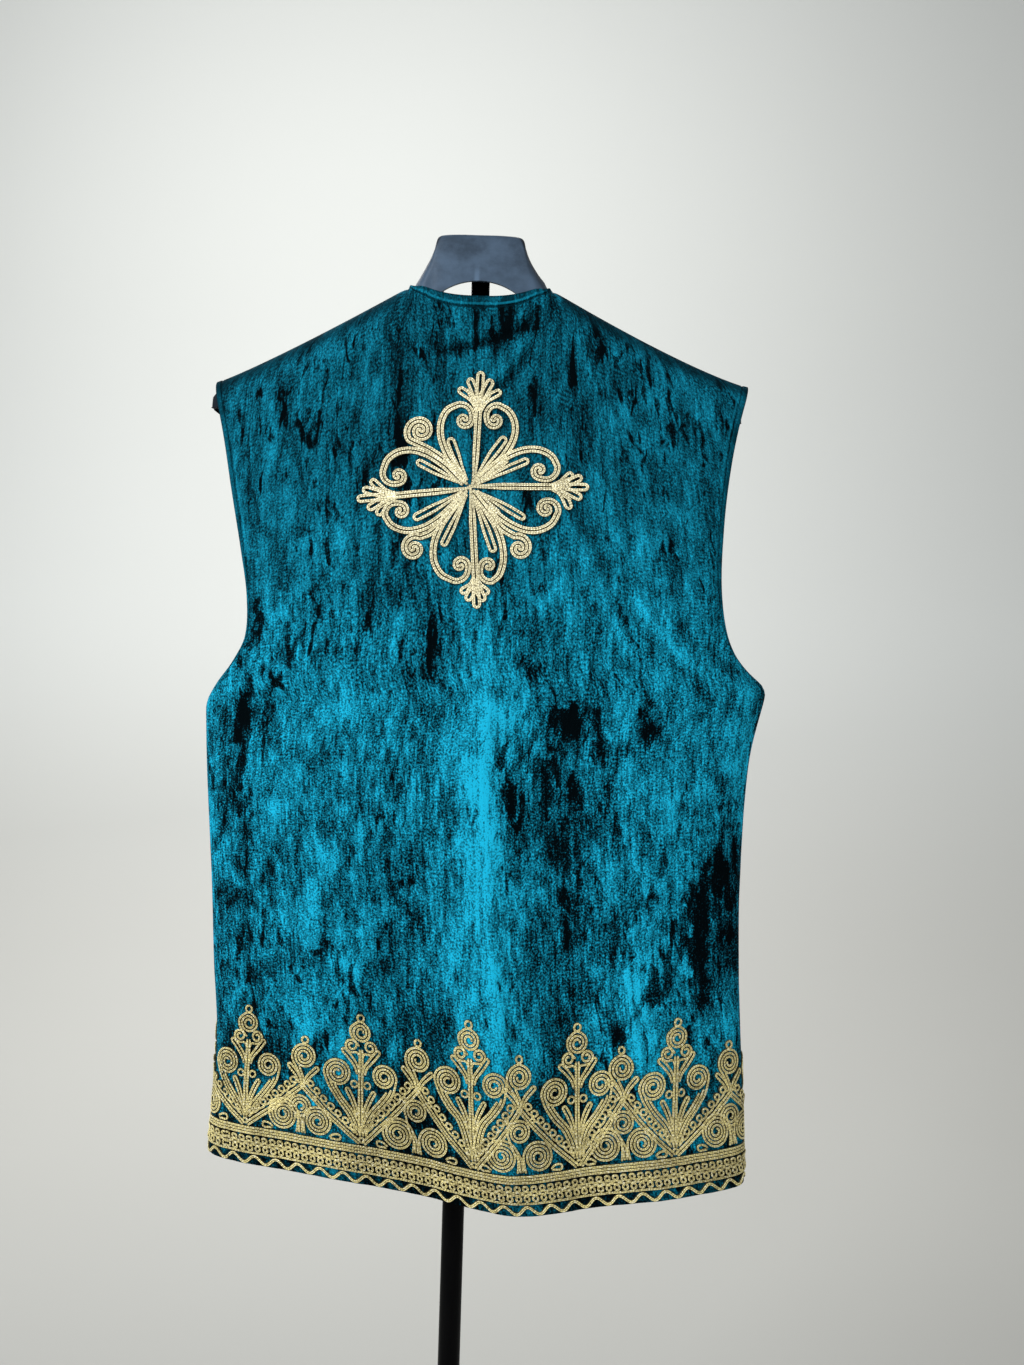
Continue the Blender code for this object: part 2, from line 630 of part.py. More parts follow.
# ---------------------------------------------------------------- hem embroidery
def leaning(tree, points):
    """Shifts points along the arc, so that the tree stands on its foot and ends at its tip."""
    lean = (tree.tip_arc - tree.arc) / (tree.tip_height - BAND_TOP)
    return [(x + lean * (height - BAND_TOP), height) for x, height in points]


def tree_outlines(tree):
    """Main outlines of one tree: stem, curls from the tip down and a pair of leaves."""
    x, tip, kind = tree.arc, tree.tip_height, tree.kind
    shapes = [ribbon([(x, tip - kind.foot_drop), (x, tip - TREE_STEM_DROP)], TREE_STEM_WIDTH)]
    for curl in kind.curls:
        turn = UPWARD if curl.across == 0.0 or curl.sides % 2 else 0.0
        shapes.append(disc(x + curl.across, tip - curl.drop, curl.radius, curl.sides, turn))
    for blade in kind.leaves:
        for angle in (blade.angle, 180.0 - blade.angle):
            shapes.append(leaf(x, tip - blade.drop, math.radians(angle), blade.length,
                               blade.width))
    return [leaning(tree, shape) for shape in shapes]


def hem_field(first_arc, last_arc):
    """The solid field of braid above the band: high under the small trees, low beside them."""
    end_height = BAND_TOP + TREE_FIELD * FIELD_END_SHARE
    top = [(first_arc, end_height)]
    for tree in TREES:
        if first_arc < tree.arc < last_arc:
            top.append((tree.arc, BAND_TOP + TREE_FIELD * tree.kind.field_share))
    top.append((last_arc, end_height))
    return top[::-1] + [(first_arc, BAND_BOTTOM), (last_arc, BAND_BOTTOM)]


def hem_reach(panel):
    first, last = panel.limits(0.0)
    return first * QUARTER_GIRTH + SEAM_MARGIN, last * QUARTER_GIRTH - SEAM_MARGIN


def facet_lines(panel, high):
    """Cut lines along the panel's facets, up to a height, so that the braid bends with the cloth."""
    low_arc, high_arc = (girth * QUARTER_GIRTH for girth in panel.limits(0.0))
    rise = BODY_HEIGHT / BODY_ROW_COUNT
    lines = []
    for stop in panel.stops[1:-1]:
        arc = low_arc + (high_arc - low_arc) * stop
        lines.append(((arc, -1.0), (arc, high)))
    for j in range(math.ceil(high / rise)):
        lines.append(((low_arc - 1.0, rise * j), (high_arc + 1.0, rise * j)))
    return lines


def hem_embroidery(panel, name):
    first_arc, last_arc = hem_reach(panel)
    outlines = [hem_field(first_arc, last_arc)]
    for tree in TREES:
        if first_arc - SEAM_REACH < tree.arc < last_arc + SEAM_REACH:
            outlines += tree_outlines(tree)
    ends = [((arc, 0.0), (arc, 170.0)) for arc in (first_arc, last_arc)]
    lines = ends + facet_lines(panel, 160.0)
    braid_plate(name, outlines, lines, lambda arc, _height: first_arc < arc < last_arc,
                panel.at_hem, BRAID_GAP)


def hem_wave(panel, name):
    """The wavy cord under the band, turning at each crest and trough."""
    first_arc, last_arc = hem_reach(panel)
    half = WAVE_LENGTH / 2
    path = []
    for k in range(math.ceil(first_arc / half), math.floor(last_arc / half) + 1):
        path.append((k * half, WAVE_MIDDLE + (WAVE_SWING if k % 2 else -WAVE_SWING)))
    for end in (first_arc, last_arc):
        share = end / half
        swing = WAVE_SWING * math.cos(math.pi * (share - math.floor(share)))
        height = WAVE_MIDDLE + (swing if math.floor(share) % 2 else -swing)
        path.insert(0 if end == first_arc else len(path), (end, height))
    outline = ribbon(path, WAVE_CORD)
    braid_plate(name, [outline], facet_lines(panel, 12.0), lambda _arc, _height: True,
                panel.at_hem, BRAID_GAP)


def armhole_braid(panel, name, side):
    """The braid along the armhole edge of a front."""
    top = len(panel.rows) - 1
    stretch = range(BODY_ROW_COUNT, top - 2)
    far = panel.columns if side < 0 else 0
    inward = -1 if side < 0 else 1

    def column_at(line, distance):
        run = (panel.middle[line][far + inward] - panel.middle[line][far]).length
        return far + inward * distance / run

    outer = [(column_at(line, ARMHOLE_BRAID_INSET), float(line)) for line in stretch]
    inner = [(column_at(line, ARMHOLE_BRAID_INSET + ARMHOLE_BRAID_WIDTH), float(line))
             for line in stretch]
    cell = min(far, panel.columns - 1)
    lines = [((far - 2.0, float(line)), (far + 2.0, float(line))) for line in stretch]
    lines += [((float(cell), float(line)), (cell + 1.0, line + 1.0)) for line in stretch[:-1]]
    braid_plate(name, [outer + inner[::-1]], lines, lambda _column, _line: True,
                panel.at_grid, BRAID_GAP)


# ---------------------------------------------------------------- medallion
def turned(along_arm, across_arm, angle):
    c, s = math.cos(math.radians(angle)), math.sin(math.radians(angle))
    return along_arm * c - across_arm * s, along_arm * s + across_arm * c


def medallion_outlines():
    shapes = []
    for angle in ARM_ANGLES:
        shapes.append(ribbon([turned(0.0, 0.0, angle), turned(ARM_STEM, 0.0, angle)],
                             ARM_STEM_WIDTH))
        base = turned(FAN_BASE, 0.0, angle)
        for lobe in FAN_LOBES:
            shapes.append(leaf(*base, math.radians(angle + lobe.angle), lobe.length, lobe.width))
        for side in (1, -1):
            path = [turned(spot.along, side * spot.across, angle) for spot in SCROLL]
            shapes.append(ribbon(path, SCROLL_WIDTH))
            eye = turned(SCROLL_EYE[0], side * SCROLL_EYE[1], angle)
            shapes.append(disc(*eye, SCROLL_EYE_RADIUS, SCROLL_EYE_SIDES))
    for loop in LOOPS:
        start = turned(LOOP_START, 0.0, loop.angle)
        shapes.append(leaf(*start, math.radians(loop.angle), loop.length - LOOP_START, LOOP_WIDTH))
    for curl in OUTER_CURLS:
        shapes.append(disc(curl.across, curl.up, curl.radius, OUTER_CURL_SIDES))
        end = (curl.across * OUTER_CORD_SHARE, curl.up * OUTER_CORD_SHARE)
        shapes.append(ribbon([(0.0, 0.0), end], OUTER_CORD_WIDTH))
    shapes.append(disc(0.0, 0.0, KNOT_RADIUS, OUTER_CURL_SIDES))
    return shapes


def medallion(panel):
    centre_x, centre_z = MEDALLION_CENTRE
    braid_plate("back_medallion", medallion_outlines(), [], lambda _across, _up: True,
                lambda across, up: panel.at_view(centre_x - across, centre_z + up), MEDALLION_GAP)


# ---------------------------------------------------------------- shoulder form
def form_rows():
    """Sections of the form from the neck to the tip: x, top, half depth, round height, power."""
    rows = list(NECK_BLOCK)
    for x in SHOULDER_STATIONS:
        top = min(shoulder_line(x), shoulder_line(-x)) - CLOTH_WALL / 2 - FORM_CLEARANCE
        end = max(x - TIP_ROUND_START, 0.0) / (FORM_TIP - TIP_ROUND_START)
        shrink = math.sqrt(max(1.0 - end**TIP_TAPER_POWER, 0.0))
        depth = TIP_HALF_DEPTH + (SHOULDER_HALF_DEPTH - TIP_HALF_DEPTH) * shrink
        top -= TIP_DROP * end**TIP_DROP_POWER
        rows.append(FormRow(x, top, depth, SHOULDER_ROUND_HEIGHT, SHOULDER_POWER))
    return rows


def rim_height(x, arch_rise):
    """Lower edge of the form: an arch under the neck, then a straight line out to the tip."""
    if abs(x) < ARCH_HALF:
        return ARCH_SPRING + arch_rise * math.sqrt(1.0 - (x / ARCH_HALF) ** 2)
    share = (abs(x) - ARCH_HALF) / (FORM_TIP - ARCH_HALF)
    return ARCH_SPRING + (FORM_TIP_RIM - ARCH_SPRING) * share


def form_section(entry, side, inset):
    """Points over the form from its front rim to its back rim."""
    x = side * (entry.x - (inset if entry.x > ARCH_HALF else 0.0) * entry.x / FORM_TIP)
    top, depth = entry.top - inset, max(entry.half_depth - inset, 1.0)
    centre = top - entry.round_height
    points = []
    for step in range(-FORM_SECTION_POINTS, FORM_SECTION_POINTS + 1):
        angle = math.pi / 2 * step / FORM_SECTION_POINTS
        rim = rim_height(side * entry.x, BACK_ARCH_RISE if step > 0 else FRONT_ARCH_RISE)
        y = depth * math.copysign(abs(math.sin(angle)) ** (2 / entry.power), angle)
        z = centre + entry.round_height * abs(math.cos(angle)) ** (2 / entry.power)
        if abs(step) == FORM_SECTION_POINTS:
            z = rim
        points.append(Vector((x, y, max(z, rim))))
    return points


def shoulder_form():
    rows = form_rows()
    stations = [(row, -1) for row in rows[:0:-1]] + [(row, 1) for row in rows]
    outer = [form_section(row, side, 0.0) for row, side in stations]
    inner = [form_section(row, side, FORM_WALL) for row, side in stations]
    wide = 2 * FORM_SECTION_POINTS + 1
    points = [p for line in outer for p in line] + [p for line in inner for p in line]
    count = wide * len(stations)
    faces = []
    for j in range(len(stations) - 1):
        for i in range(wide - 1):
            a, b = j * wide + i, j * wide + i + 1
            c, d = b + wide, a + wide
            faces += [(a, d, c), (a, c, b)]
            faces += [(a + count, c + count, d + count), (a + count, b + count, c + count)]
    last = len(stations) - 1
    rim = [i for i in range(wide)] + [j * wide + wide - 1 for j in range(1, last + 1)]
    rim += [last * wide + i for i in range(wide - 2, -1, -1)] + [j * wide for j in range(last - 1, 0, -1)]
    for a, b in zip(rim, rim[1:] + rim[:1]):
        faces += [(a, b, b + count), (a, b + count, a + count)]
    return add_object("shoulder_form", points, faces, FORM_PLASTIC)


# ---------------------------------------------------------------- stand
def turned_piece(name, profile, sides, finish, axis="z", at=(0.0, 0.0, 0.0)):
    """A closed ring or disc turned from a closed profile of (radius, height) points."""
    points, faces, rings = [], [], []
    for radius, height in profile:
        if radius == 0.0:
            rings.append([len(points)])
            points.append(Vector((0.0, 0.0, height)))
            continue
        rings.append(list(range(len(points), len(points) + sides)))
        for k in range(sides):
            angle = 2 * math.pi * k / sides
            points.append(Vector((radius * math.cos(angle), radius * math.sin(angle), height)))
    closed = all(len(ring) == sides for ring in rings)
    pairs = list(zip(rings, rings[1:] + rings[:1])) if closed else list(zip(rings, rings[1:]))
    for low, high in pairs:
        for k in range(sides):
            n = (k + 1) % sides
            if len(low) == 1:
                faces.append((low[0], high[k], high[n]))
            elif len(high) == 1:
                faces.append((low[k], high[0], low[n]))
            else:
                faces.append((low[k], high[k], high[n], low[n]))
    if axis == "y":
        points = [Vector((p.x, p.z, -p.y)) for p in points]
    points = [p + Vector(at) for p in points]
    piece = add_object(name, points, faces, finish)
    piece.data.set_sharp_from_angle(angle=SHARP_ANGLE)
    return piece


def tube_profile(outer, wall, low, high):
    return [(outer, high), (outer, low), (outer - wall, low), (outer - wall, high)]


def stand():
    base_top = BASE_HEIGHT
    turned_piece("base", [(0.0, base_top), (BASE_RADIUS - BASE_BEVEL, base_top),
                          (BASE_RADIUS, base_top - BASE_BEVEL), (BASE_RADIUS, 0.0), (0.0, 0.0)],
                 BASE_SIDES, BLACK_METAL)
    turned_piece("lower_tube", tube_profile(LOWER_TUBE_RADIUS, TUBE_WALL, base_top + PART_GAP,
                                            LOWER_TUBE_TOP), TUBE_SIDES, BLACK_METAL)
    tube_top = FORM_TOP - FORM_WALL - PART_GAP
    turned_piece("upper_tube", tube_profile(UPPER_TUBE_RADIUS, TUBE_WALL, UPPER_TUBE_BOTTOM,
                                            tube_top), TUBE_SIDES, BLACK_METAL)
    bore = LOWER_TUBE_RADIUS + PART_GAP
    collar_low = LOWER_TUBE_TOP - COLLAR_OVERLAP
    turned_piece("clamp_collar", tube_profile(COLLAR_RADIUS, COLLAR_RADIUS - bore, collar_low,
                                              collar_low + COLLAR_HEIGHT), TUBE_SIDES, BLACK_METAL)
    knob = [(0.0, KNOB_LENGTH), (KNOB_RADIUS - KNOB_BEVEL, KNOB_LENGTH),
            (KNOB_RADIUS, KNOB_LENGTH - KNOB_BEVEL), (KNOB_RADIUS, KNOB_BEVEL),
            (KNOB_RADIUS - KNOB_BEVEL, 0.0), (0.0, 0.0)]
    knob_at = (0.0, COLLAR_RADIUS + PART_GAP, collar_low + COLLAR_HEIGHT / 2)
    turned_piece("clamp_knob", knob, KNOB_SIDES, BLACK_METAL, axis="y", at=knob_at)


def main():
    clear_scene()
    half = [k / HALF_BACK_COLUMNS for k in range(HALF_BACK_COLUMNS + 1)] + list(NECK_COLUMNS)
    back_stops = sorted({(1 + side * share) / 2 for share in half for side in (1, -1)})
    front_stops = [k / FRONT_COLUMNS for k in range(FRONT_COLUMNS + 1)]
    back = Panel("back_panel", back_limits, back_stops)
    left = Panel("front_panel_left", front_left_limits, front_stops)
    right = Panel("front_panel_right", front_right_limits, front_stops)
    for panel, suffix in ((back, "back"), (left, "front_left"), (right, "front_right")):
        panel.build()
        hem_embroidery(panel, "hem_embroidery_" + suffix)
        hem_wave(panel, "hem_wave_" + suffix)
    armhole_braid(left, "armhole_braid_left", 1)
    armhole_braid(right, "armhole_braid_right", -1)
    medallion(back)
    shoulder_form()
    stand()


main()
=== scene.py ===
"""Looks of an embroidered folk vest on its display stand: velvet, couched gold braid, form and pole.

Sizes are in millimetres unless a comment says otherwise, and angles in degrees.  The cloth is read
from two numbers, as in the solids: `girth` runs round the body (0 centre back, 1 and -1 side seams,
2 and -2 centre front) and `row` runs upwards (0 hem, 1 underarm, 2 shoulder line).  Braid is drawn
flat and laid on the cloth.
"""
import math
from collections import namedtuple

import bpy
import numpy as np
from mathutils import Matrix, Vector


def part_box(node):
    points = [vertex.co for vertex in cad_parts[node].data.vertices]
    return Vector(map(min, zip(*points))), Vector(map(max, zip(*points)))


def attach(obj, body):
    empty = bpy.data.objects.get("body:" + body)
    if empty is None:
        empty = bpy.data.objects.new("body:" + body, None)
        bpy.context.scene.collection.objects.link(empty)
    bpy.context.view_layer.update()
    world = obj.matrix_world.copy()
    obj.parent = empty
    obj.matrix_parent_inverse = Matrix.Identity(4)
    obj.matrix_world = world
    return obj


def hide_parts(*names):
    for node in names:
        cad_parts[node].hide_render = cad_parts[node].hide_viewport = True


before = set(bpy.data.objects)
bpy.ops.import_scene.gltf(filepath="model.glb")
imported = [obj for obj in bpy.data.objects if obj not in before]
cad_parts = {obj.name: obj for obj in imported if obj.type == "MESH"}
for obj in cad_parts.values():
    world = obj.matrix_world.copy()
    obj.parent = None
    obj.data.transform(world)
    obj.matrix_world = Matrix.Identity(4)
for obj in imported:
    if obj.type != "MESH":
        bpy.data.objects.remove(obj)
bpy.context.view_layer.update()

bl_info = {
    "name": "Embroidered folk vest",
    "version": (1, 0, 0),
    "blender": (4, 5, 0),
    "location": "3D View > Sidebar > Folk vest",
    "description": "Dresses the vest, its braid work, the shoulder form and the stand",
    "category": "Object",
}

MM = 0.001

# ---------------------------------------------------------------- cloth sizes, mm
# Where the left and the right side differ, 1 is the left one and -1 the right one.
SEAM_GAP = 0.3
SECTION_POWER = 2.6          # how square the body's section is: 2 would be an ellipse
SECTION_STEPS = 240
QUARTER_GIRTH = 256.0        # cloth from the centre back to a side seam
BODY_HEIGHT = 410.0          # usual height from hem to underarm
UPPER_HEIGHT = 275.0         # usual height from underarm to shoulder line
UNDERARM_Z = {1: 955.2, -1: 980.0}
HEM_Z = {1: 569.0, -1: 556.2}
SHOULDER_TIP = {1: (224.1, 1231.8), -1: (-233.4, 1240.8)}
NECK_POINT = {1: (59.5, 1318.7), -1: (-60.5, 1319.6)}
NECK_CORNER_DROP = 3.2       # the corner between neck and shoulder is rounded off
NECK_CORNER_REACH = 6.0
NECK_CORNER_INWARD = 3.6
SHOULDER_LINE_POWER = {1: 1.11, -1: 1.21}
NECK_BACK_Z = 1301.5
NECK_BACK_DEPTH = 40.0       # of the neck's curve behind the shoulder line
NECK_SHARE = 4.0 / 14.0      # of the girth from centre to side that the neck takes
NECK_PLAN_POWER = 3.5
NECK_RISE_POWER = 2.8
SHOULDER_ROUND = 45.0        # the cloth rolls over the shoulder within this height
HEM_SAG = 24.0               # of the hem at the centre back, below a straight line
HEM_SAG_REACH = 0.46
HEM_SAG_ROW = 0.2
TWIST_HELD_ROW = 0.55        # below this the whole girth turns with the twist
FRONT_EDGE_SHARE = 0.028     # of a quarter girth, from centre front to a front's edge
FRONT_V_ROW = 1.36           # where the neck's V begins
FRONT_V_POWER = 1.2

BodyRow = namedtuple("BodyRow", "row left_x right_x back_depth front_depth")
BODY_ROWS = (
    BodyRow(0.00, 212.0, -250.4, 44.0, 45.0),
    BodyRow(0.25, 208.2, -245.0, 43.0, 45.0),
    BodyRow(0.42, 212.7, -241.0, 42.0, 45.0),
    BodyRow(0.60, 216.5, -239.5, 42.0, 46.0),
    BodyRow(0.85, 223.5, -244.0, 44.0, 48.0),
    BodyRow(1.00, 226.3, -257.7, 45.0, 49.0),
)
# `edge_depth` is half the gap between back and front at the armhole's edge.
ArmholeRow = namedtuple("ArmholeRow", "row left_x right_x back_depth front_depth edge_depth")
ARMHOLE_ROWS = (
    ArmholeRow(1.00, 226.3, -257.7, 45.0, 49.0, 0.0),
    ArmholeRow(1.06, 214.0, -238.2, 45.5, 49.0, 13.0),
    ArmholeRow(1.12, 200.4, -225.2, 46.0, 49.0, 21.0),
    ArmholeRow(1.20, 188.7, -216.5, 46.5, 49.0, 27.0),
    ArmholeRow(1.32, 187.2, -211.3, 47.0, 48.0, 31.0),
    ArmholeRow(1.45, 192.2, -210.5, 47.0, 47.0, 33.0),
    ArmholeRow(1.65, 202.3, -213.6, 46.0, 45.0, 34.0),
    ArmholeRow(1.85, 212.3, -221.6, 44.0, 43.0, 35.0),
    ArmholeRow(2.00, 224.1, -233.4, 43.0, 43.0, 36.0),
)
# How far the body of the vest is turned round the form, along the cloth.
TwistRow = namedtuple("TwistRow", "row shift")
TWIST_ROWS = (
    TwistRow(0.00, -37.0), TwistRow(0.17, -25.0), TwistRow(0.35, -19.0), TwistRow(0.60, -14.0),
    TwistRow(0.87, -8.0), TwistRow(1.20, -2.0), TwistRow(1.50, 0.0), TwistRow(2.00, 0.0),
)
# Large folds: from one place down to another, height (ridge +, trough -) and half width in girth.
Fold = namedtuple("Fold", "top_girth top_row low_girth low_row height width")
FOLDS = (
    Fold(0.02, 1.32, 0.00, 0.00, 5.0, 0.11),
    Fold(-0.24, 1.05, -0.26, 0.00, -4.0, 0.12),
    Fold(-0.56, 0.95, -0.52, 0.00, 3.5, 0.13),
    Fold(0.27, 0.90, 0.30, 0.00, -3.5, 0.12),
    Fold(0.58, 0.85, 0.62, 0.00, 3.0, 0.12),
    Fold(0.84, 1.00, 0.86, 0.40, -2.5, 0.06),
    Fold(-0.60, 1.34, -0.86, 1.02, 2.5, 0.06),
    Fold(1.42, 0.95, 1.45, 0.00, 4.5, 0.13),
    Fold(1.70, 0.80, 1.72, 0.00, -3.5, 0.10),
    Fold(-1.38, 0.90, -1.36, 0.00, 4.0, 0.13),
    Fold(-1.66, 1.00, -1.70, 0.00, -4.0, 0.11),
)
FOLD_FADE = 0.35             # rows over which a fold begins and ends
# Soft creases: from one place to another, height (ridge +, trough -) and half width.
Crease = namedtuple("Crease", "girth_a row_a girth_b row_b height width")
CREASES = (
    Crease(0.02, 1.25, 0.00, 0.62, 1.1, 5.0),
    Crease(0.00, 0.70, -0.01, 0.28, 1.4, 4.5),
    Crease(-0.06, 0.85, -0.07, 0.10, -1.3, 6.0),
    Crease(-0.56, 1.33, -0.80, 1.03, 1.6, 3.5),
    Crease(-0.52, 1.30, -0.78, 0.98, -1.1, 5.0),
    Crease(0.78, 1.92, 0.70, 1.52, -0.9, 2.6),
    Crease(0.24, 1.83, -0.34, 1.95, -3.6, 3.6),
    Crease(-0.04, 1.74, -0.26, 1.88, -2.2, 4.0),
    Crease(-0.02, 1.77, -0.25, 1.91, 1.4, 4.5),
    Crease(0.88, 0.95, 0.93, 0.42, -2.2, 7.0),
    Crease(0.80, 0.95, 0.83, 0.20, 1.3, 4.0),
    Crease(0.745, 0.90, 0.75, 0.25, -1.0, 3.0),
    Crease(-0.40, 0.60, -0.43, 0.15, -1.2, 3.5),
    Crease(-0.45, 0.62, -0.48, 0.12, 1.2, 4.0),
    Crease(0.42, 0.42, 0.52, 0.22, -1.3, 5.0),
    Crease(-0.88, 0.80, -0.86, 0.30, -2.6, 14.0),
    Crease(-0.95, 0.75, -0.92, 0.20, 1.4, 6.0),
    Crease(0.33, 1.05, 0.36, 0.55, 0.8, 5.0),
    Crease(-0.20, 0.98, -0.22, 0.50, -1.2, 6.0),
    Crease(-0.30, 1.45, -0.36, 1.00, 0.8, 7.0),
    Crease(0.45, 1.40, 0.50, 1.00, -0.8, 7.0),
    Crease(0.62, 1.12, 0.92, 1.02, 1.4, 6.0),
    Crease(0.60, 1.02, 0.90, 0.94, -1.2, 6.0),
    Crease(-0.66, 1.02, -0.93, 0.93, -1.3, 6.0),
    Crease(1.10, 1.06, 1.34, 0.82, 1.6, 8.0),
    Crease(1.16, 0.70, 1.18, 0.18, -1.6, 8.0),
    Crease(1.36, 0.75, 1.38, 0.15, 1.8, 9.0),
    Crease(1.56, 0.95, 1.60, 0.30, -1.5, 7.0),
    Crease(1.78, 0.70, 1.80, 0.12, 1.3, 6.0),
    Crease(1.50, 1.80, 1.30, 1.30, 1.2, 8.0),
    Crease(-1.12, 1.04, -1.36, 0.80, 1.5, 8.0),
    Crease(-1.18, 0.72, -1.16, 0.20, -1.5, 8.0),
    Crease(-1.33, 0.70, -1.35, 0.12, 1.6, 9.0),
    Crease(-1.58, 0.90, -1.60, 0.25, -1.7, 7.0),
    Crease(-1.80, 0.75, -1.82, 0.15, 1.2, 6.0),
    Crease(-1.52, 1.80, -1.32, 1.32, 1.1, 8.0),
)
CREASE_BOW = 0.35            # a crease swings to and fro by this share of its half width
RIPPLE_HEIGHT = 0.35         # fine unevenness of the whole cloth
# Widths of the turned and stitched edges.
ARM_TURN = 5.0
NECK_TURN = 9.0
NECK_LOOK_REACH = 1.15       # the neck's painted shade and highlight cover this multiple of its girth and come down to this row
NECK_LOOK_ROW = 1.6          # and comes down to this row
FRONT_TURN = 8.0
EDGE_PUFF = 0.35
STITCH_DIP = 0.55
STITCH_SHARE = 0.17          # half width of the stitched dip, in turned widths
# Where the pile is pressed dark (-) or brushed bright (+), partly painted shade where the sides turn from
# the light: place on the back, half sizes and depth.
Spot = namedtuple("Spot", "arc height across up depth")
SPOTS = (
    Spot(-24.0, 326.0, 11.0, 31.0, -1.0), Spot(-53.0, 321.0, 7.0, 22.0, -0.55),
    Spot(-53.0, 391.0, 6.0, 14.0, -0.9), Spot(-71.0, 387.0, 8.0, 19.0, -0.95),
    Spot(-134.0, 381.0, 10.0, 22.0, -0.75), Spot(-38.0, 429.0, 6.5, 9.0, -0.95),
    Spot(-141.0, 462.0, 5.0, 18.0, -0.85), Spot(-94.0, 368.0, 6.0, 17.0, -0.6),
    Spot(-79.0, 328.0, 7.0, 8.0, -0.6), Spot(52.0, 449.0, 11.0, 28.0, -0.75),
    Spot(120.0, 470.0, 6.0, 12.0, -0.7), Spot(-204.0, 238.0, 26.0, 52.0, -0.74),
    Spot(-182.0, 182.0, 10.0, 34.0, -0.7), Spot(-112.0, 208.0, 7.0, 24.0, -0.95),
    Spot(-67.0, 262.0, 10.0, 60.0, -0.3), Spot(-104.0, 137.0, 9.0, 17.0, -0.85),
    Spot(-141.0, 162.0, 12.0, 17.0, -0.55), Spot(235.0, 232.0, 12.0, 9.0, -0.6),
    Spot(234.0, 179.0, 10.0, 19.0, -0.55), Spot(154.0, 188.0, 19.0, 21.0, -0.5),
    Spot(84.0, 642.0, 9.0, 30.0, -0.5), Spot(85.0, 580.0, 7.0, 34.0, -0.65),
    Spot(194.0, 644.0, 6.5, 24.0, -0.75), Spot(137.0, 593.0, 15.0, 19.0, -0.4),
    Spot(56.0, 654.0, 17.0, 22.0, -0.35), Spot(-13.0, 655.0, 34.0, 14.0, -0.15),
    Spot(-118.0, 662.0, 10.0, 14.0, -0.7), Spot(-96.0, 626.0, 5.0, 20.0, -0.7),
    Spot(-128.0, 500.0, 7.0, 14.0, -0.75), Spot(30.0, 70.0, 14.0, 40.0, -0.3),
    Spot(214.0, 330.0, 11.0, 90.0, -0.4), Spot(90.0, 520.0, 9.0, 12.0, -0.6),
    Spot(1.0, 340.0, 4.0, 130.0, 0.42), Spot(107.0, 358.0, 52.0, 70.0, 0.4),
    Spot(222.0, 470.0, 9.0, 52.0, 0.35), Spot(-50.0, 262.0, 20.0, 52.0, 0.22),
    Spot(41.0, 217.0, 17.0, 60.0, 0.3), Spot(-182.0, 403.0, 26.0, 52.0, 0.25),
    Spot(132.0, 529.0, 14.0, 14.0, 0.4), Spot(214.0, 604.0, 6.0, 17.0, 0.3),
    Spot(-90.0, 470.0, 30.0, 40.0, 0.22), Spot(-216.0, 520.0, 12.0, 60.0, 0.3),
    Spot(-160.0, 300.0, 18.0, 40.0, 0.2), Spot(-180.0, 225.0, 50.0, 66.0, -0.3),
    Spot(207.0, 380.0, 3.8, 36.0, -0.7), Spot(187.0, 392.0, 3.6, 42.0, -0.5),
    Spot(216.0, 400.0, 22.0, 30.0, -0.34), Spot(-247.0, 372.0, 9.0, 44.0, -0.6),
    Spot(-206.0, 372.0, 17.0, 32.0, 0.2), Spot(152.0, 270.0, 42.0, 56.0, 0.18),
    Spot(165.0, 90.0, 60.0, 60.0, -0.16), Spot(-146.0, 338.0, 38.0, 44.0, 0.16),
)
SPOT_SHIFT = 45.0            # the fronts carry like spots, this much higher

# How finely the cloth is divided.
BACK_COLUMNS = 150
FRONT_COLUMNS = 76
BODY_LINES = 104
UPPER_LINES = 62
CURL_ROW = 1.8               # above this the lines crowd towards the shoulder line
CURL_LINES = 30
EDGE_STOPS = (1.2, 2.6, 3.6, 4.3, 5.0, 5.7, 6.6, 8.2)    # extra columns near the side edges
NOMINAL_BACK = 430.0         # width of back that those are stated for
UNDERARM_SOFT_ROWS = 0.03    # how far the change of section at the underarm is rounded
FAR = 100.0                  # an edge distance that means there is no turned edge near

# ---------------------------------------------------------------- braid sizes, mm
BAND_BOTTOM = 9.5
BAND_TOP = 34.0
WAVE_LENGTH = 20.0
WAVE_SWING = 3.0
WAVE_MIDDLE = 4.9
# A tree's foot and tip: arcs round the cloth from the centre back, which lean with its twist.
Tree = namedtuple("Tree", "arc tip_arc tip_height big")
TREES = (
    Tree(-480.0, -480.0, 131.0, False), Tree(-440.0, -440.0, 149.0, True),
    Tree(-394.0, -394.0, 131.0, False), Tree(-348.0, -349.0, 149.0, True),
    Tree(-302.0, -302.0, 129.0, False), Tree(-256.0, -256.0, 147.0, True),
    Tree(-200.0, -208.0, 122.0, False), Tree(-143.7, -160.9, 145.6, True),
    Tree(-101.0, -108.7, 128.5, False), Tree(-59.9, -72.0, 150.8, True),
    Tree(-9.7, -17.9, 131.7, False), Tree(30.8, 23.6, 158.1, True),
    Tree(82.0, 71.5, 134.4, False), Tree(130.2, 121.3, 146.8, True),
    Tree(184.0, 173.0, 121.1, False), Tree(235.6, 224.8, 140.6, True),
    Tree(289.0, 282.0, 124.0, False), Tree(338.0, 333.0, 146.0, True),
    Tree(386.0, 383.0, 129.0, False), Tree(434.0, 433.0, 149.0, True),
    Tree(480.0, 480.0, 131.0, False),
)
JUNCTION_DROP = 43.0         # from a small tree's tip to where the V lines meet
TREE_REACH = 50.0            # no tree is wider than this on either side
HEM_CORD = 2.6               # room that one cord of a tree takes
HEM_PITCH = 2.9              # from turn to turn of a coil
HEM_MARGIN = 0.02            # the hem's work ends this far from the seams
LOOP_RADIUS = 3.05           # of the looped cords beside the V lines
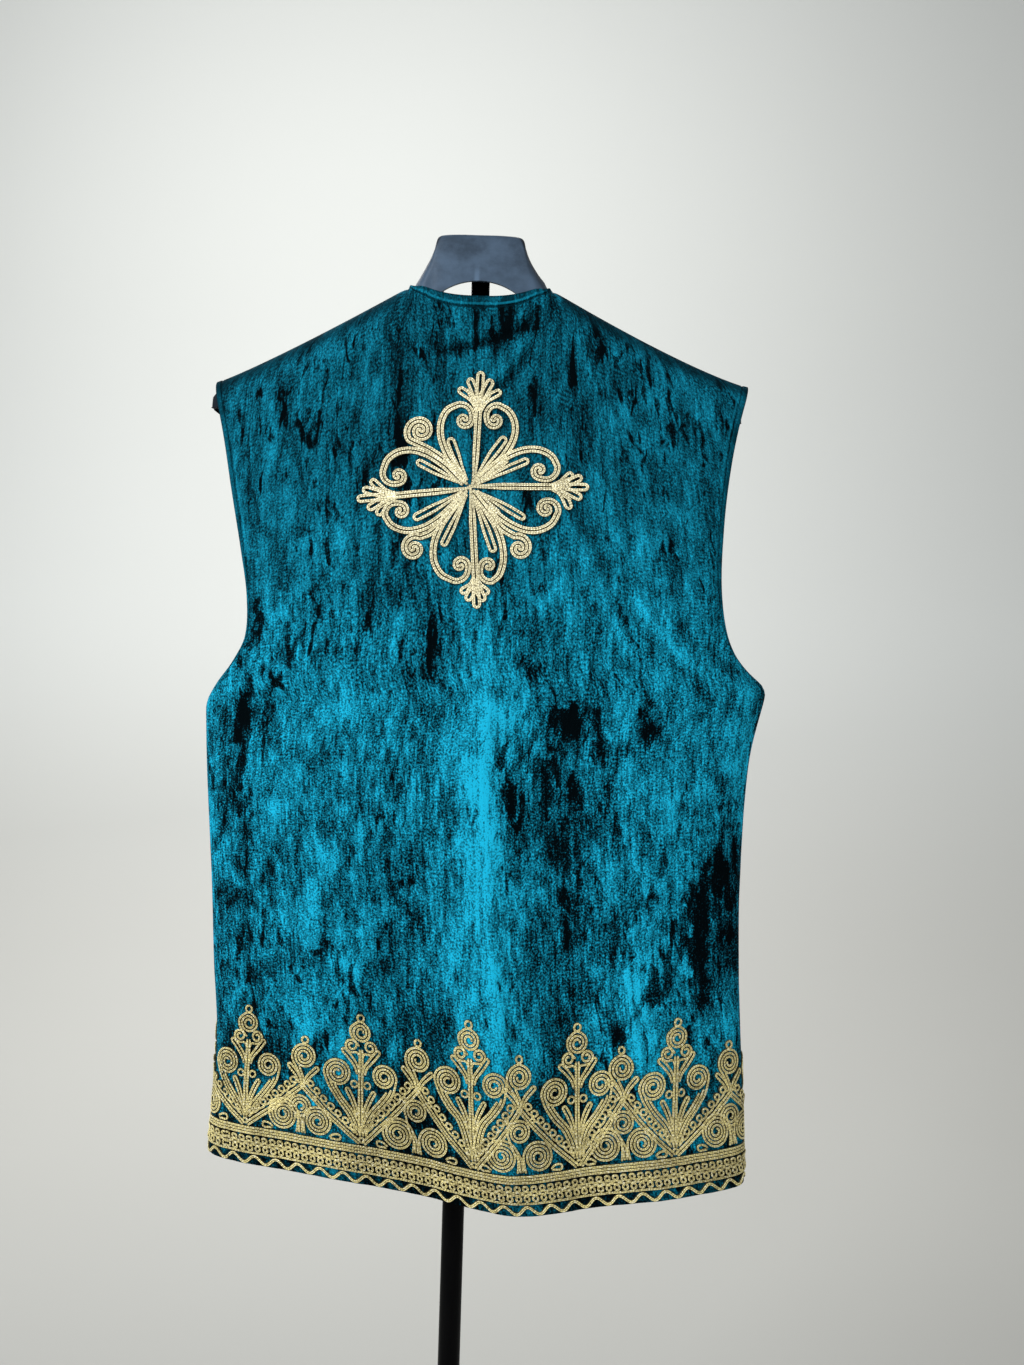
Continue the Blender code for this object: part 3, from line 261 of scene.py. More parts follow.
LOOP_RISE = 0.9              # a looped cord climbs this far where it crosses itself
ARMHOLE_WORK_SHARE = 0.955   # of the height from the underarm to the shoulder line
BRAID = 3.3                  # width of the medallion's braid
CURL_BRAID = 2.75            # the braid's width where it winds tightest
LEAD_STEP = 1.4              # between points of a braid that runs on, and of one that winds
CURL_STEP = 1.1
MEDALLION_CENTRE = (2.2, 1140.8)
# Arms of the medallion: direction, sideways place of the stem, foot of the fan, and the fan's loops
# as (lean, reach).  Scrolls: arm, side, farthest along and across, eye and outer radius.
Arm = namedtuple("Arm", "angle shift base fan")
ARMS = (
    Arm(88.0, -3.0, 62.7, ((41.0, 27.0), (-41.0, 27.0), (17.6, 30.5), (-17.6, 30.5), (0.0, 35.0))),
    Arm(1.2, 0.9, 67.0, ((31.0, 22.5), (-46.0, 25.5), (18.0, 28.5), (-19.0, 28.5), (0.0, 32.5))),
    Arm(-85.4, 0.8, 75.0, ((34.0, 18.5), (-44.0, 18.5), (16.0, 22.0), (-21.0, 21.5), (0.0, 26.5))),
    Arm(187.0, 1.0, 60.5, ((38.0, 24.5), (-34.0, 26.5), (19.0, 28.0), (-15.0, 30.0), (0.0, 34.5))),
)
Scroll = namedtuple("Scroll", "arm side top spread eye_along eye_across radius")
SCROLLS = (
    Scroll(0, 1, 67.5, 27.3, 55.7, 8.4, 8.6), Scroll(0, -1, 69.7, 34.2, 57.1, 17.2, 8.4),
    Scroll(1, 1, 72.5, 31.8, 57.8, 14.4, 8.2), Scroll(1, -1, 73.4, 35.2, 63.4, 17.4, 8.6),
    Scroll(2, 1, 79.0, 24.8, 65.8, 12.0, 7.6), Scroll(2, -1, 76.0, 32.8, 64.2, 11.2, 8.5),
    Scroll(3, 1, 72.0, 30.8, 59.2, 14.3, 8.2), Scroll(3, -1, 70.5, 35.2, 58.4, 15.0, 8.2),
)
OuterCurl = namedtuple("OuterCurl", "x y radius start way lead")
OUTER_CURLS = (
    OuterCurl(-42.3, 45.9, 12.1, 222.0, -1, ((-5.0, 5.0), (-18.0, 18.5), (-32.0, 29.0))),
    OuterCurl(-44.8, -52.1, 10.9, 62.0, 1, ((-6.0, -7.0), (-18.0, -24.0), (-30.0, -37.5))),
    OuterCurl(42.4, -49.3, 10.5, 112.0, -1, ((5.0, -6.0), (17.0, -21.0), (27.5, -33.0))),
)
# Narrow loops round the middle: direction, length and width at the end.
Loop = namedtuple("Loop", "angle length width")
LOOPS = (
    Loop(114.0, 45.2, 8.4), Loop(56.5, 52.2, 8.6), Loop(26.8, 54.8, 7.7), Loop(-27.9, 53.5, 7.7),
    Loop(-67.8, 58.4, 8.1), Loop(-113.0, 54.6, 7.5), Loop(-148.9, 54.3, 8.4), Loop(155.5, 50.0, 7.7),
)
# Sheaves of straight cords between the arms: direction, length and number of cords.
Sheaf = namedtuple("Sheaf", "angle reach cords")
SHEAVES = (
    Sheaf(41.0, 42.0, 3), Sheaf(133.0, 34.0, 2), Sheaf(-41.0, 34.0, 2), Sheaf(-129.0, 36.0, 2),
)
# A scroll's arch, as shares of its farthest place along its arm and across it.
SCROLL_START = (5.0, 3.2)
SCROLL_ARCH = ((0.26, 0.53), (0.42, 0.80), (0.60, 0.98), (0.78, 1.0), (0.93, 0.84), (1.0, 0.58))
SHEAF_PITCH = 3.2            # from cord to cord of a sheaf
FAN_HALF = 2.35              # from the axis of a fan's loop to the middle of its braid
FAN_BRAID = 3.4
FAN_RIB = 3.6                # width of the cords between the loops, and their share of the reach
FAN_RIB_SHARE = 0.8
# The braids are drawn together at the medallion's middle: girth left there, and how slowly it grows.
DRAWN_GIRTH = 0.4
DRAWN_REACH = 44.0
# Cord profile: across the half width, and share of the height.  Two strands lie side by side.
CORD_PROFILE = ((-1.0, 0.0), (-0.84, 0.62), (-0.46, 1.0), (0.0, 0.66), (0.46, 1.0), (0.84, 0.62),
                (1.0, 0.0))
CORD_BED = 0.05              # every cord lies this far off the cloth
CORD_STAGGER = 0.07          # and each of five in turn this much higher than the one before
CORD_END = 0.25              # a free end is rounded, from this share of its half width on
CUT_LENGTH = 9.0             # a cut end is as full as a place this far from a free one

# ---------------------------------------------------------------- form and stand, mm
FORM_WALL = 3.0
FORM_CLEARANCE = 0.5         # between the form and the cloth
CLOTH_WALL = 1.6
ARCH_HALF = 56.0             # half width of the opening under the neck block
ARCH_SPRING = 1262.0
BACK_ARCH_RISE = 56.0
FRONT_ARCH_RISE = 83.0
FORM_TIP = 229.5
FORM_TIP_RIM = 1204.0
TIP_ROUND_START = 165.0
TIP_TAPER_POWER = 2.4
TIP_HALF_DEPTH = 5.0
TIP_DROP = 10.0
TIP_DROP_POWER = 8
TIP_CORNER_START = 218.0     # the lower corner of the tip is rounded from here
TIP_CORNER_LIFT = 6.0
FormRow = namedtuple("FormRow", "x top half_depth round_height power")
NECK_BLOCK = (
    FormRow(0.0, 1359.7, 32.0, 12.0, 4.5),
    FormRow(17.0, 1359.7, 31.9, 12.0, 4.5),
    FormRow(30.0, 1359.6, 31.2, 13.0, 4.1),
    FormRow(35.0, 1359.0, 30.6, 14.5, 3.7),
    FormRow(37.2, 1356.8, 30.2, 16.0, 3.4),
    FormRow(38.5, 1352.0, 29.9, 18.0, 3.2),
    FormRow(41.5, 1344.6, 29.4, 22.0, 2.9),
    FormRow(46.0, 1336.5, 29.2, 27.0, 2.6),
    FormRow(50.5, 1328.8, 29.5, 33.0, 2.2),
    FormRow(54.5, 1321.6, 31.0, 38.0, 2.0),
)
FLARE = {1: 1.2, -1: 3.6}    # how much wider the neck block runs out on each side
FLARE_START = 40.0
FLARE_REACH = 15.0
SHOULDER_HALF_DEPTH = 35.0
SHOULDER_ROUND_HEIGHT = 43.5
SHOULDER_POWER = 2.0
FORM_RING = 18               # points over a quarter round of the form, and down its wall
FORM_WALL_RINGS = 14
# Sections of one half of the form: from, to and how many.
FORM_SPANS = ((0.0, 32.0, 18), (32.0, 41.0, 19), (41.0, 62.0, 17), (62.0, 212.0, 30),
              (212.0, FORM_TIP, 12))
INNER_TIP_GAP = 2.5          # the inner face ends this far short of the tip

Tube = namedtuple("Tube", "name node body radius")
TUBES = (
    Tube("standing_tube", "lower_tube", "stand", 9.525),
    Tube("sliding_tube", "upper_tube", "display", 7.95),
)
TUBE_WALL = 1.2
TUBE_SIDES = 64
TUBE_EDGE = 0.35             # rounding of the tube ends

# ---------------------------------------------------------------- stage, m
COVE_Y = -1.3                # where the floor starts to sweep up
COVE_RADIUS = 2.7
COVE_TOP = 9.0
COVE_WIDTH = 13.0
FLOOR_FRONT = 6.0
FLOOR_DROP = 0.5             # the floor lies this far under the base, mm
SKY_STRENGTH = 0.34
Light = namedtuple("Light", "name place goal size power tone")
LIGHTS = (
    Light("key", (2.1, 1.7, 2.2), (0.0, 0.0, 0.95), 1.1, 66.0, (0.98, 0.99, 1.0)),
    Light("fill", (-1.7, 2.2, 1.2), (0.0, 0.0, 0.9), 1.6, 16.0, (1.0, 0.98, 0.95)),
    Light("front", (0.5, -2.0, 2.2), (0.0, 0.0, 1.0), 1.4, 22.0, (1.0, 1.0, 1.0)),
    Light("wall_wash", (0.75, -1.0, 3.0), (0.05, -4.0, 2.2), 2.4, 94.0, (1.0, 1.0, 0.99)),
)
CAMERA_PLACE = (-0.03754, 1.044, 0.98)
CAMERA_ROLL = 1.70           # degrees
CAMERA_LENS = 31.65          # focal length and sensor width, mm
CAMERA_SENSOR = 36.0


# ---------------------------------------------------------------- small helpers
def smoothstep(low, high, value):
    """0 below `low`, 1 above `high`, smooth between."""
    share = np.clip((value - low) / (high - low), 0.0, 1.0)
    return share * share * (3.0 - 2.0 * share)


def along(table, place, column):
    """Smooth curve through one column of a table, at one place or many of its first column."""
    spots = np.array([entry[0] for entry in table])
    values = np.array([getattr(entry, column) for entry in table])
    slopes = np.empty_like(values)
    slopes[1:-1] = (values[2:] - values[:-2]) / (spots[2:] - spots[:-2])
    slopes[0] = (values[1] - values[0]) / (spots[1] - spots[0])
    slopes[-1] = (values[-1] - values[-2]) / (spots[-1] - spots[-2])
    place = np.clip(place, spots[0], spots[-1])
    index = np.clip(np.searchsorted(spots, place, side="right") - 1, 0, len(spots) - 2)
    span = spots[index + 1] - spots[index]
    t = (place - spots[index]) / span
    return ((2 * t**3 - 3 * t**2 + 1) * values[index]
            + (t**3 - 2 * t**2 + t) * span * slopes[index]
            + (3 * t**2 - 2 * t**3) * values[index + 1]
            + (t**3 - t**2) * span * slopes[index + 1])


def path_lengths(path):
    """Length along a flat path, up to each of its points."""
    return np.concatenate(([0.0], np.cumsum(np.hypot(*np.diff(path, axis=0).T))))


def headings(path):
    """Unit vectors ahead and to the left, at each point of a flat path."""
    ahead = np.gradient(path, axis=0)
    ahead /= np.maximum(np.hypot(ahead[:, 0], ahead[:, 1]), 1e-9)[:, None]
    return ahead, np.stack((-ahead[:, 1], ahead[:, 0]), axis=1)


def squares(index):
    """The four corners of each square of a grid of point numbers."""
    corners = (index[:-1, :-1], index[:-1, 1:], index[1:, 1:], index[1:, :-1])
    return np.stack([corner.ravel() for corner in corners], axis=1)


def shell(outer, inner):
    """Points of a closed shell between two grids, and its outer, inner and rim faces."""
    high, wide = outer.shape[:2]
    count = high * wide
    index = np.arange(count).reshape(high, wide)
    faces = squares(index)
    rim = np.concatenate((index[0, :], index[1:, -1], index[-1, -2::-1], index[-2:0:-1, 0]))
    ahead = np.roll(rim, -1)
    points = np.concatenate((outer.reshape(-1, 3), inner.reshape(-1, 3)))
    return points, (faces[:, [0, 3, 2, 1]], faces + count,
                    np.stack((rim, ahead, ahead + count, rim + count), axis=1))


def deselect():
    for thing in bpy.context.selected_objects:
        thing.select_set(False)


def edit_mode():
    bpy.ops.object.mode_set(mode="EDIT")


def object_mode():
    bpy.ops.object.mode_set(mode="OBJECT")


def enter(piece, body, node=None):
    """Enters a piece in the frame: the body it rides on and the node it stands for."""
    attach(piece, body)
    if node:
        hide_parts(node)


def mesh_object(name, points, faces, finishes, face_slots=None, uv=None):
    """A piece from arrays in millimetres, with an optional UV place for each point in metres."""
    mesh = bpy.data.meshes.new(name)
    mesh.from_pydata((np.asarray(points) * MM).tolist(), [], [list(face) for face in faces])
    for finish in finishes:
        mesh.materials.append(finish)
    if face_slots is not None:
        mesh.polygons.foreach_set("material_index", np.asarray(face_slots, dtype=np.int32))
    if uv is not None:
        layer = mesh.uv_layers.new(name="lay")
        owners = np.empty(len(mesh.loops), dtype=np.int32)
        mesh.loops.foreach_get("vertex_index", owners)
        layer.data.foreach_set("uv", np.asarray(uv, dtype=np.float32)[owners].ravel())
    mesh.shade_smooth()
    mesh.validate()
    thing = bpy.data.objects.new(name, mesh)
    bpy.context.scene.collection.objects.link(thing)
    return thing


# ---------------------------------------------------------------- the cloth's surface
SEAM_SHARE = SEAM_GAP / 2 / QUARTER_GIRTH
QUARTERS = {}


def from_middle(girth):
    """Share of the way to the side seam from the nearer centre line, back or front."""
    return np.where(np.abs(girth) <= 1.0, np.abs(girth), 2.0 - np.abs(girth))


def quarter(row, back):
    """Middle, x, depth and arc length of a quarter section, from the middle to the side."""
    key = (round(float(row), 5), back)
    if key not in QUARTERS:
        table = BODY_ROWS if row <= 1.0 else ARMHOLE_ROWS
        left, right = along(table, row, "left_x"), along(table, row, "right_x")
        depth = along(table, row, "back_depth" if back else "front_depth")
        edge = along(table, row, "edge_depth") if row > 1.0 else 0.0
        angle = np.linspace(0.0, math.pi / 2, SECTION_STEPS + 1)
        x = (left - right) / 2 * np.abs(np.sin(angle)) ** (2 / SECTION_POWER)
        y = edge + (depth - edge) * np.abs(np.cos(angle)) ** (2 / SECTION_POWER)
        QUARTERS[key] = ((left + right) / 2, x, y, path_lengths(np.stack((x, y), axis=1)))
    return QUARTERS[key]


def section(girth, row):
    """Plan places round the bare body at one row: x, depth, and +1 at the back or -1 in front."""
    girth = (girth + 2.0) % 4.0 - 2.0
    side = np.where(girth >= 0, 1.0, -1.0)
    back = np.abs(girth) <= 1.0
    share = np.clip(from_middle(girth), 0.0, None)
    x, depth = np.empty_like(girth), np.empty_like(girth)
    for is_back in (True, False):
        here = back == is_back
        middle, xs, ys, lengths = quarter(row, is_back)
        place = share[here] * lengths[-1]
        x[here] = middle + side[here] * np.interp(place, lengths, xs)
        depth[here] = np.interp(place, lengths, ys)
    return x, depth, np.where(back, 1.0, -1.0)


def sided(table, side, part=None):
    """A value of the left or the right side for each column."""
    left, right = table[1], table[-1]
    if part is not None:
        left, right = left[part], right[part]
    return np.where(side > 0, left, right)


def neck_corner(x):
    """How far the corner between neck and shoulder is rounded off."""
    side = np.where(x >= 0, 1, -1)
    away = (np.abs(x) - np.abs(sided(NECK_POINT, side, 0)) + NECK_CORNER_INWARD) / NECK_CORNER_REACH
    return NECK_CORNER_DROP * np.exp(-(away**2))


def shoulder_line(x):
    """Height of the shoulder seam, which runs slightly hollow from the neck to the tip."""
    side = np.where(x >= 0, 1, -1)
    neck_x, neck_z = sided(NECK_POINT, side, 0), sided(NECK_POINT, side, 1)
    tip_x, tip_z = sided(SHOULDER_TIP, side, 0), sided(SHOULDER_TIP, side, 1)
    share = np.clip((x - neck_x) / (tip_x - neck_x), 0.0, 1.0)
    line = tip_z + (neck_z - tip_z) * (1 - share) ** sided(SHOULDER_LINE_POWER, side)
    return line - neck_corner(x)


def top_edge(girth):
    """Top edge in each column: x, depth and z."""
    side = np.where(girth >= 0, 1, -1)
    share = from_middle(girth)
    neck_x, neck_z = sided(NECK_POINT, side, 0), sided(NECK_POINT, side, 1)
    tip_x = sided(SHOULDER_TIP, side, 0)
    seam = SEAM_GAP / 2
    out_x = neck_x + (tip_x - neck_x) * (share - NECK_SHARE) / (1 - NECK_SHARE)
    part = np.clip(share / NECK_SHARE, 0.0, 1.0)
    neck_depth = seam + NECK_BACK_DEPTH * (1 - part**NECK_PLAN_POWER) ** (1 / NECK_PLAN_POWER)
    in_z = NECK_BACK_Z + (neck_z - NECK_BACK_Z) * part**NECK_RISE_POWER - neck_corner(neck_x * part)
    outside = share >= NECK_SHARE
    return (np.where(outside, out_x, neck_x * part), np.where(outside, seam, neck_depth),
            np.where(outside, shoulder_line(out_x), in_z))


def fold_height(girth, row):
    """The cloth's large folds."""
    total = np.zeros_like(girth)
    for fold in FOLDS:
        if row > fold.top_row:
            continue
        t = min((fold.top_row - row) / (fold.top_row - fold.low_row), 1.0)
        centre = fold.top_girth + (fold.low_girth - fold.top_girth) * t
        fade = smoothstep(0.0, FOLD_FADE, fold.top_row - row)
        if fold.low_row > 0.0:
            fade = fade * smoothstep(-FOLD_FADE, 0.0, row - fold.low_row)
        total += fold.height * fade * np.exp(-((girth - centre) / fold.width) ** 2)
    return total


def cloth_height(row):
    """Nominal height of a row over the hem, along the cloth."""
    row = np.asarray(row)
    return np.where(row <= 1.0, row * BODY_HEIGHT, BODY_HEIGHT + (row - 1.0) * UPPER_HEIGHT)


def crease_height(girth, row):
    """Listed creases and a fine unevenness."""
    u, v = girth * QUARTER_GIRTH, cloth_height(row)
    total = np.zeros_like(girth)
    for crease in CREASES:
        ax, ay = crease.girth_a * QUARTER_GIRTH, float(cloth_height(crease.row_a))
        bx, by = crease.girth_b * QUARTER_GIRTH, float(cloth_height(crease.row_b))
        length = math.hypot(bx - ax, by - ay)
        dx, dy = (bx - ax) / length, (by - ay) / length
        t = ((u - ax) * dx + (v - ay) * dy) / length
        bow = CREASE_BOW * crease.width * np.sin(2.1 * math.pi * t + crease.girth_a * 40.0)
        off = (u - ax) * dy - (v - ay) * dx + bow
        width = crease.width * (0.75 + 0.5 * np.clip(t, 0.0, 1.0))
        taper = smoothstep(0.0, 0.3, t) * smoothstep(0.0, 0.35, 1.0 - t)
        total += crease.height * taper * np.exp(-((off / width) ** 2))
    fine = np.sin(u * 0.19 + 1.7 * np.sin(v * 0.021)) * np.sin(u * 0.053 + v * 0.011 + 1.0)
    fine = fine + 0.6 * np.sin(u * 0.41 + 2.3 * np.sin(v * 0.013 + 2.0)) * np.sin(v * 0.017 + 0.6)
    calm = 1.0 - smoothstep(1.55, 1.9, row)
    return total + RIPPLE_HEIGHT * fine * calm


def pressed(girth, row):
    """How far the pile is pressed dark (below 0) or brushed bright (above 0), with painted shade where
    the sides turn from the light.
    """
    arc, up = girth * QUARTER_GIRTH, cloth_height(row)
    on_front = np.abs(girth) > 1.0
    arc = np.where(on_front, np.sign(arc) * (2.0 * QUARTER_GIRTH - np.abs(arc)), arc)
    up = up - SPOT_SHIFT * on_front
    total = np.zeros_like(girth)
    for spot in SPOTS:
        reach = ((arc - spot.arc) / spot.across) ** 2 + ((up - spot.height) / spot.up) ** 2
        total += spot.depth * np.exp(-reach)
    return total


def level(x, heights, left, right):
    """Height of a straight line from the right side's height to the left side's."""
    share = (x - right) / (left - right)
    return heights[-1] + (heights[1] - heights[-1]) * share


def cloth_line(girth, row):
    """Mid-surface points of the cloth along one row."""
    held = 1.0 - smoothstep(TWIST_HELD_ROW, 1.0, row)
    turn = 1.0 - from_middle(girth) ** 2 * (1.0 - held)
    shift = along(TWIST_ROWS, row, "shift") / QUARTER_GIRTH * turn
    if row > 1.0:
        shift = np.where(np.abs(girth) > 1.0, -shift, shift)
    x, depth, facing = section(girth + shift, row)
    depth = depth + fold_height(girth, row) + crease_height(girth, row)
    if row <= 1.0:
        left, right = along(BODY_ROWS, row, "left_x"), along(BODY_ROWS, row, "right_x")
        low, high = level(x, HEM_Z, left, right), level(x, UNDERARM_Z, left, right)
        sag = HEM_SAG * np.exp(-((girth / HEM_SAG_REACH) ** 2))
        z = low + (high - low) * row - sag * (1.0 - smoothstep(HEM_SAG_ROW, 1.0, row))
        return np.stack((x, facing * depth, z), axis=-1)
    top_x, top_depth, top_z = top_edge(girth)
    rise = row - 1.0
    x = x + (top_x - section(girth, 2.0)[0]) * rise**2
    base = level(x, UNDERARM_Z, BODY_ROWS[-1].left_x, BODY_ROWS[-1].right_x)
    z = base + (top_z - base) * rise
    drop = np.minimum((top_z - z) / SHOULDER_ROUND, 1.0)
    rounding = np.sqrt(np.clip(1.0 - (1.0 - drop) ** 2, 0.0, None))
    depth = top_depth + (depth - top_depth) * rounding
    return np.stack((x, facing * depth, z), axis=-1)


def front_edge(row):
    """Share of the girth from centre front to a front's edge, which leaves a V at the neck."""
    rise = max(row - FRONT_V_ROW, 0.0) / (2.0 - FRONT_V_ROW)
    return FRONT_EDGE_SHARE + (NECK_SHARE - FRONT_EDGE_SHARE) * rise**FRONT_V_POWER


def back_limits(_row):
    return -1.0 + SEAM_SHARE, 1.0 - SEAM_SHARE


def front_left_limits(row):
    return 1.0 + SEAM_SHARE, 2.0 - front_edge(row)


def front_right_limits(row):
    return -2.0 + front_edge(row), -1.0 - SEAM_SHARE


def cloth_rows():
    """Rows of the cloth's grid, crowded where it rolls over the shoulder."""
    body = np.linspace(0.0, 1.0, BODY_LINES, endpoint=False)
    upper = np.linspace(1.0, CURL_ROW, UPPER_LINES, endpoint=False)
    turn = np.linspace(0.0, math.pi / 2, CURL_LINES + 1)
    return np.concatenate((body, upper, CURL_ROW + (2.0 - CURL_ROW) * np.sin(turn)))


def unit(vectors):
    return vectors / np.maximum(np.linalg.norm(vectors, axis=-1, keepdims=True), 1e-9)


def run_lengths(points, axis):
    """Length along grid lines, from the first point of each."""
    steps = np.linalg.norm(np.diff(points, axis=axis), axis=-1)
    start = np.zeros_like(np.take(steps, [0], axis=axis))
    return np.concatenate((start, np.cumsum(steps, axis=axis)), axis=axis)


class Panel:
    """A cut piece of velvet as a dense grid, which braid is laid on too."""

    def __init__(self, name, limits, stops, turned_sides):
        self.name, self.limits = name, limits
        self.stops, self.rows = np.array(stops), cloth_rows()
        bounds = [limits(float(row)) for row in self.rows]
        self.first, self.last = np.array([b[0] for b in bounds]), np.array([b[1] for b in bounds])
        self.girths = self.first[:, None] + (self.last - self.first)[:, None] * self.stops[None, :]
        self.middle = np.array([cloth_line(g, float(r)) for g, r in zip(self.girths, self.rows)])
        self.soften_underarm()
        self.edge = self.edge_distance(turned_sides)
        self.normals = self.find_normals()
        puff = EDGE_PUFF * (1.0 - smoothstep(0.8, 1.0, self.edge))
        dip = STITCH_DIP * np.exp(-(((self.edge - 1.0) / STITCH_SHARE) ** 2))
        self.middle = self.middle + self.normals * (puff - dip)[..., None]
        self.outer = self.middle + self.normals * CLOTH_WALL / 2

    def soften_underarm(self):
        """Rounds the change of section at the underarm."""
        blurred = self.middle
        for _ in range(3):
            ahead = np.concatenate((blurred[1:], blurred[-1:]))
            behind = np.concatenate((blurred[:1], blurred[:-1]))
            blurred = (blurred * 2 + ahead + behind) / 4
        near = np.exp(-(((self.rows - 1.0) / UNDERARM_SOFT_ROWS) ** 2))[:, None, None]
        self.middle = self.middle * (1 - near) + blurred * near

    def edge_distance(self, turned_sides):
        """Distance of each point from the nearest turned edge, in turned widths."""
        across = run_lengths(self.middle, 1)
        upward = run_lengths(self.middle, 0)
        below_arm = np.where(self.rows > 1.0, 0.0, FAR)[:, None]
        distance = np.full(across.shape, FAR)
        for key, from_edge in (("first", across), ("last", across[:, -1:] - across)):
            if turned_sides.get(key) == "arm":
                distance = np.minimum(distance, from_edge / ARM_TURN + below_arm)
            if turned_sides.get(key) == "front":
                distance = np.minimum(distance, from_edge / FRONT_TURN)
        if "neck" in turned_sides:
            from_top = (upward[-1:] - upward) / NECK_TURN
            past_neck = from_middle(self.girths[-1:]) > NECK_SHARE
            distance = np.minimum(distance, from_top + FAR * past_neck)
        return distance

    def find_normals(self):
        """Directions out of the cloth."""
        across = np.gradient(self.middle, axis=1)
        upward = np.gradient(self.middle, axis=0)
        return unit(np.cross(upward, across))

    def solid(self, name, finishes):
        """Outer and inner face and the rim, as one closed shell that carries its markings and painted
        shade.
        """
        points, parts = shell(self.outer, self.middle - self.normals * CLOTH_WALL / 2)
        slots = np.repeat((0, 1, 0), [len(part) for part in parts])
        height = np.broadcast_to(cloth_height(self.rows)[:, None], self.girths.shape)
        flat = np.stack((self.flat_across(), height), axis=-1).reshape(-1, 2) * MM
        piece = mesh_object(name, points, np.concatenate(parts), finishes, slots,
                            np.concatenate((flat, flat)))
        # `bend` holds the creases' and folds' heights, which the velvet paints as shade in troughs and
        # highlight on ridges.
        bend = np.array([crease_height(g, float(r)) + 0.5 * fold_height(g, float(r))
                         for g, r in zip(self.girths, self.rows)])
        # Pressed pile, and painted shade where the sides turn from the light.
        spots = np.array([pressed(g, float(r)) for g, r in zip(self.girths, self.rows)])
        by_neck = from_middle(self.girths) < NECK_LOOK_REACH * NECK_SHARE
        neck = np.where(by_neck & (self.rows[:, None] > NECK_LOOK_ROW), 1.0, 0.0)
        for key, values in (("edge", self.edge), ("fold", bend), ("spot", spots), ("neck", neck)):
            attribute = piece.data.attributes.new(key, "FLOAT", "POINT")
            spread = np.concatenate((values.ravel(), values.ravel())).astype(np.float32)
            attribute.data.foreach_set("value", spread)
        return piece

    def flat_across(self):
        """Sideways place on the flat cloth, by true lengths, so that the grain runs straight."""
        across = run_lengths(self.middle, 1)
        if self.name == "back":
            centre = [np.interp(0.0, girths, line) for girths, line in zip(self.girths, across)]
            return across - np.array(centre)[:, None]
        side = 1.0 if self.name == "front_left" else -1.0
        centre_front = np.array([2.0 * side])
        centre_x = np.array([cloth_line(centre_front, float(row))[0, 0] for row in self.rows])
        edge_x = self.middle[:, -1 if side > 0 else 0, 0]
        from_edge = across[:, -1:] - across if side > 0 else across
        return side * (2 * QUARTER_GIRTH - np.abs(edge_x - centre_x)[:, None] - from_edge)

    def outer_area(self):
        """Area of the outer face, in square metres."""
        across = np.diff(self.outer, axis=1)[:-1]
        upward = np.diff(self.outer, axis=0)[:, :-1]
        return float(np.linalg.norm(np.cross(across, upward), axis=-1).sum()) * MM * MM

    def at(self, girth, row):
        """Outer points and normals at many places."""
        girth, row = np.asarray(girth, dtype=float), np.asarray(row, dtype=float)
        first, last = np.interp(row, self.rows, self.first), np.interp(row, self.rows, self.last)
        share = np.clip((girth - first) / (last - first), 0.0, 1.0)
        column = np.interp(share, self.stops, np.arange(len(self.stops)))
        line = np.interp(row, self.rows, np.arange(len(self.rows)))
        i = np.minimum(column.astype(int), len(self.stops) - 2)
        j = np.minimum(line.astype(int), len(self.rows) - 2)
        s, t = (column - i)[:, None], (line - j)[:, None]
        places = []
        for grid in (self.outer, self.normals):
            low = grid[j, i] * (1 - s) + grid[j, i + 1] * s
            high = grid[j + 1, i] * (1 - s) + grid[j + 1, i + 1] * s
            places.append(low * (1 - t) + high * t)
        return places[0], unit(places[1])

    def at_hem(self, arc, height):
        """Points and normals by arc round the cloth and height over the hem."""
        return self.at(np.asarray(arc) / QUARTER_GIRTH, np.asarray(height) / BODY_HEIGHT)

    def at_view(self, x, z):
        """Points and normals where lines along Y meet the cloth, found step by step.

        The bare numbers are rough sizes of the back: they only set how fast the steps close in.
        """
        x, z = np.asarray(x, dtype=float), np.asarray(z, dtype=float)
        girth, row = x / 250.0, 1.0 + (z - 965.0) / 335.0
        for _ in range(12):
            point, normal = self.at(girth, row)
            girth = girth + (x - point[:, 0]) / 270.0
            row = row + (z - point[:, 2]) / 330.0
        return self.at(girth, row)


PANELS = {}


def panel(which):
    """The back or one front, made once."""
    if which not in PANELS:
        side_stops = [stop / NOMINAL_BACK for stop in EDGE_STOPS]
        if which == "back":
            stops = sorted(set(np.linspace(0.0, 1.0, BACK_COLUMNS + 1)) | set(side_stops)
                           | {1.0 - stop for stop in side_stops})
            turned = {"first": "arm", "last": "arm", "neck": True}
            PANELS[which] = Panel("back", back_limits, stops, turned)
        else:
            stops = sorted(set(np.linspace(0.0, 1.0, FRONT_COLUMNS + 1))
                           | {2 * stop for stop in side_stops} | {1 - 2 * stop for stop in side_stops})
            left = which == "front_left"
            turned = {"first": "arm" if left else "front", "last": "front" if left else "arm"}
            limits = front_left_limits if left else front_right_limits
            PANELS[which] = Panel(which, limits, stops, turned)
    return PANELS[which]


# ---------------------------------------------------------------- flat drawing of cords
def resampled(path, step):
    """Even points along a path, which may carry its lift as a third column."""
    path = np.asarray(path, dtype=float)
    lengths = path_lengths(path[:, :2])
    count = max(int(round(lengths[-1] / step)), 2)
    places = np.linspace(0.0, lengths[-1], count + 1)
    return np.stack([np.interp(places, lengths, column) for column in path.T], axis=1)


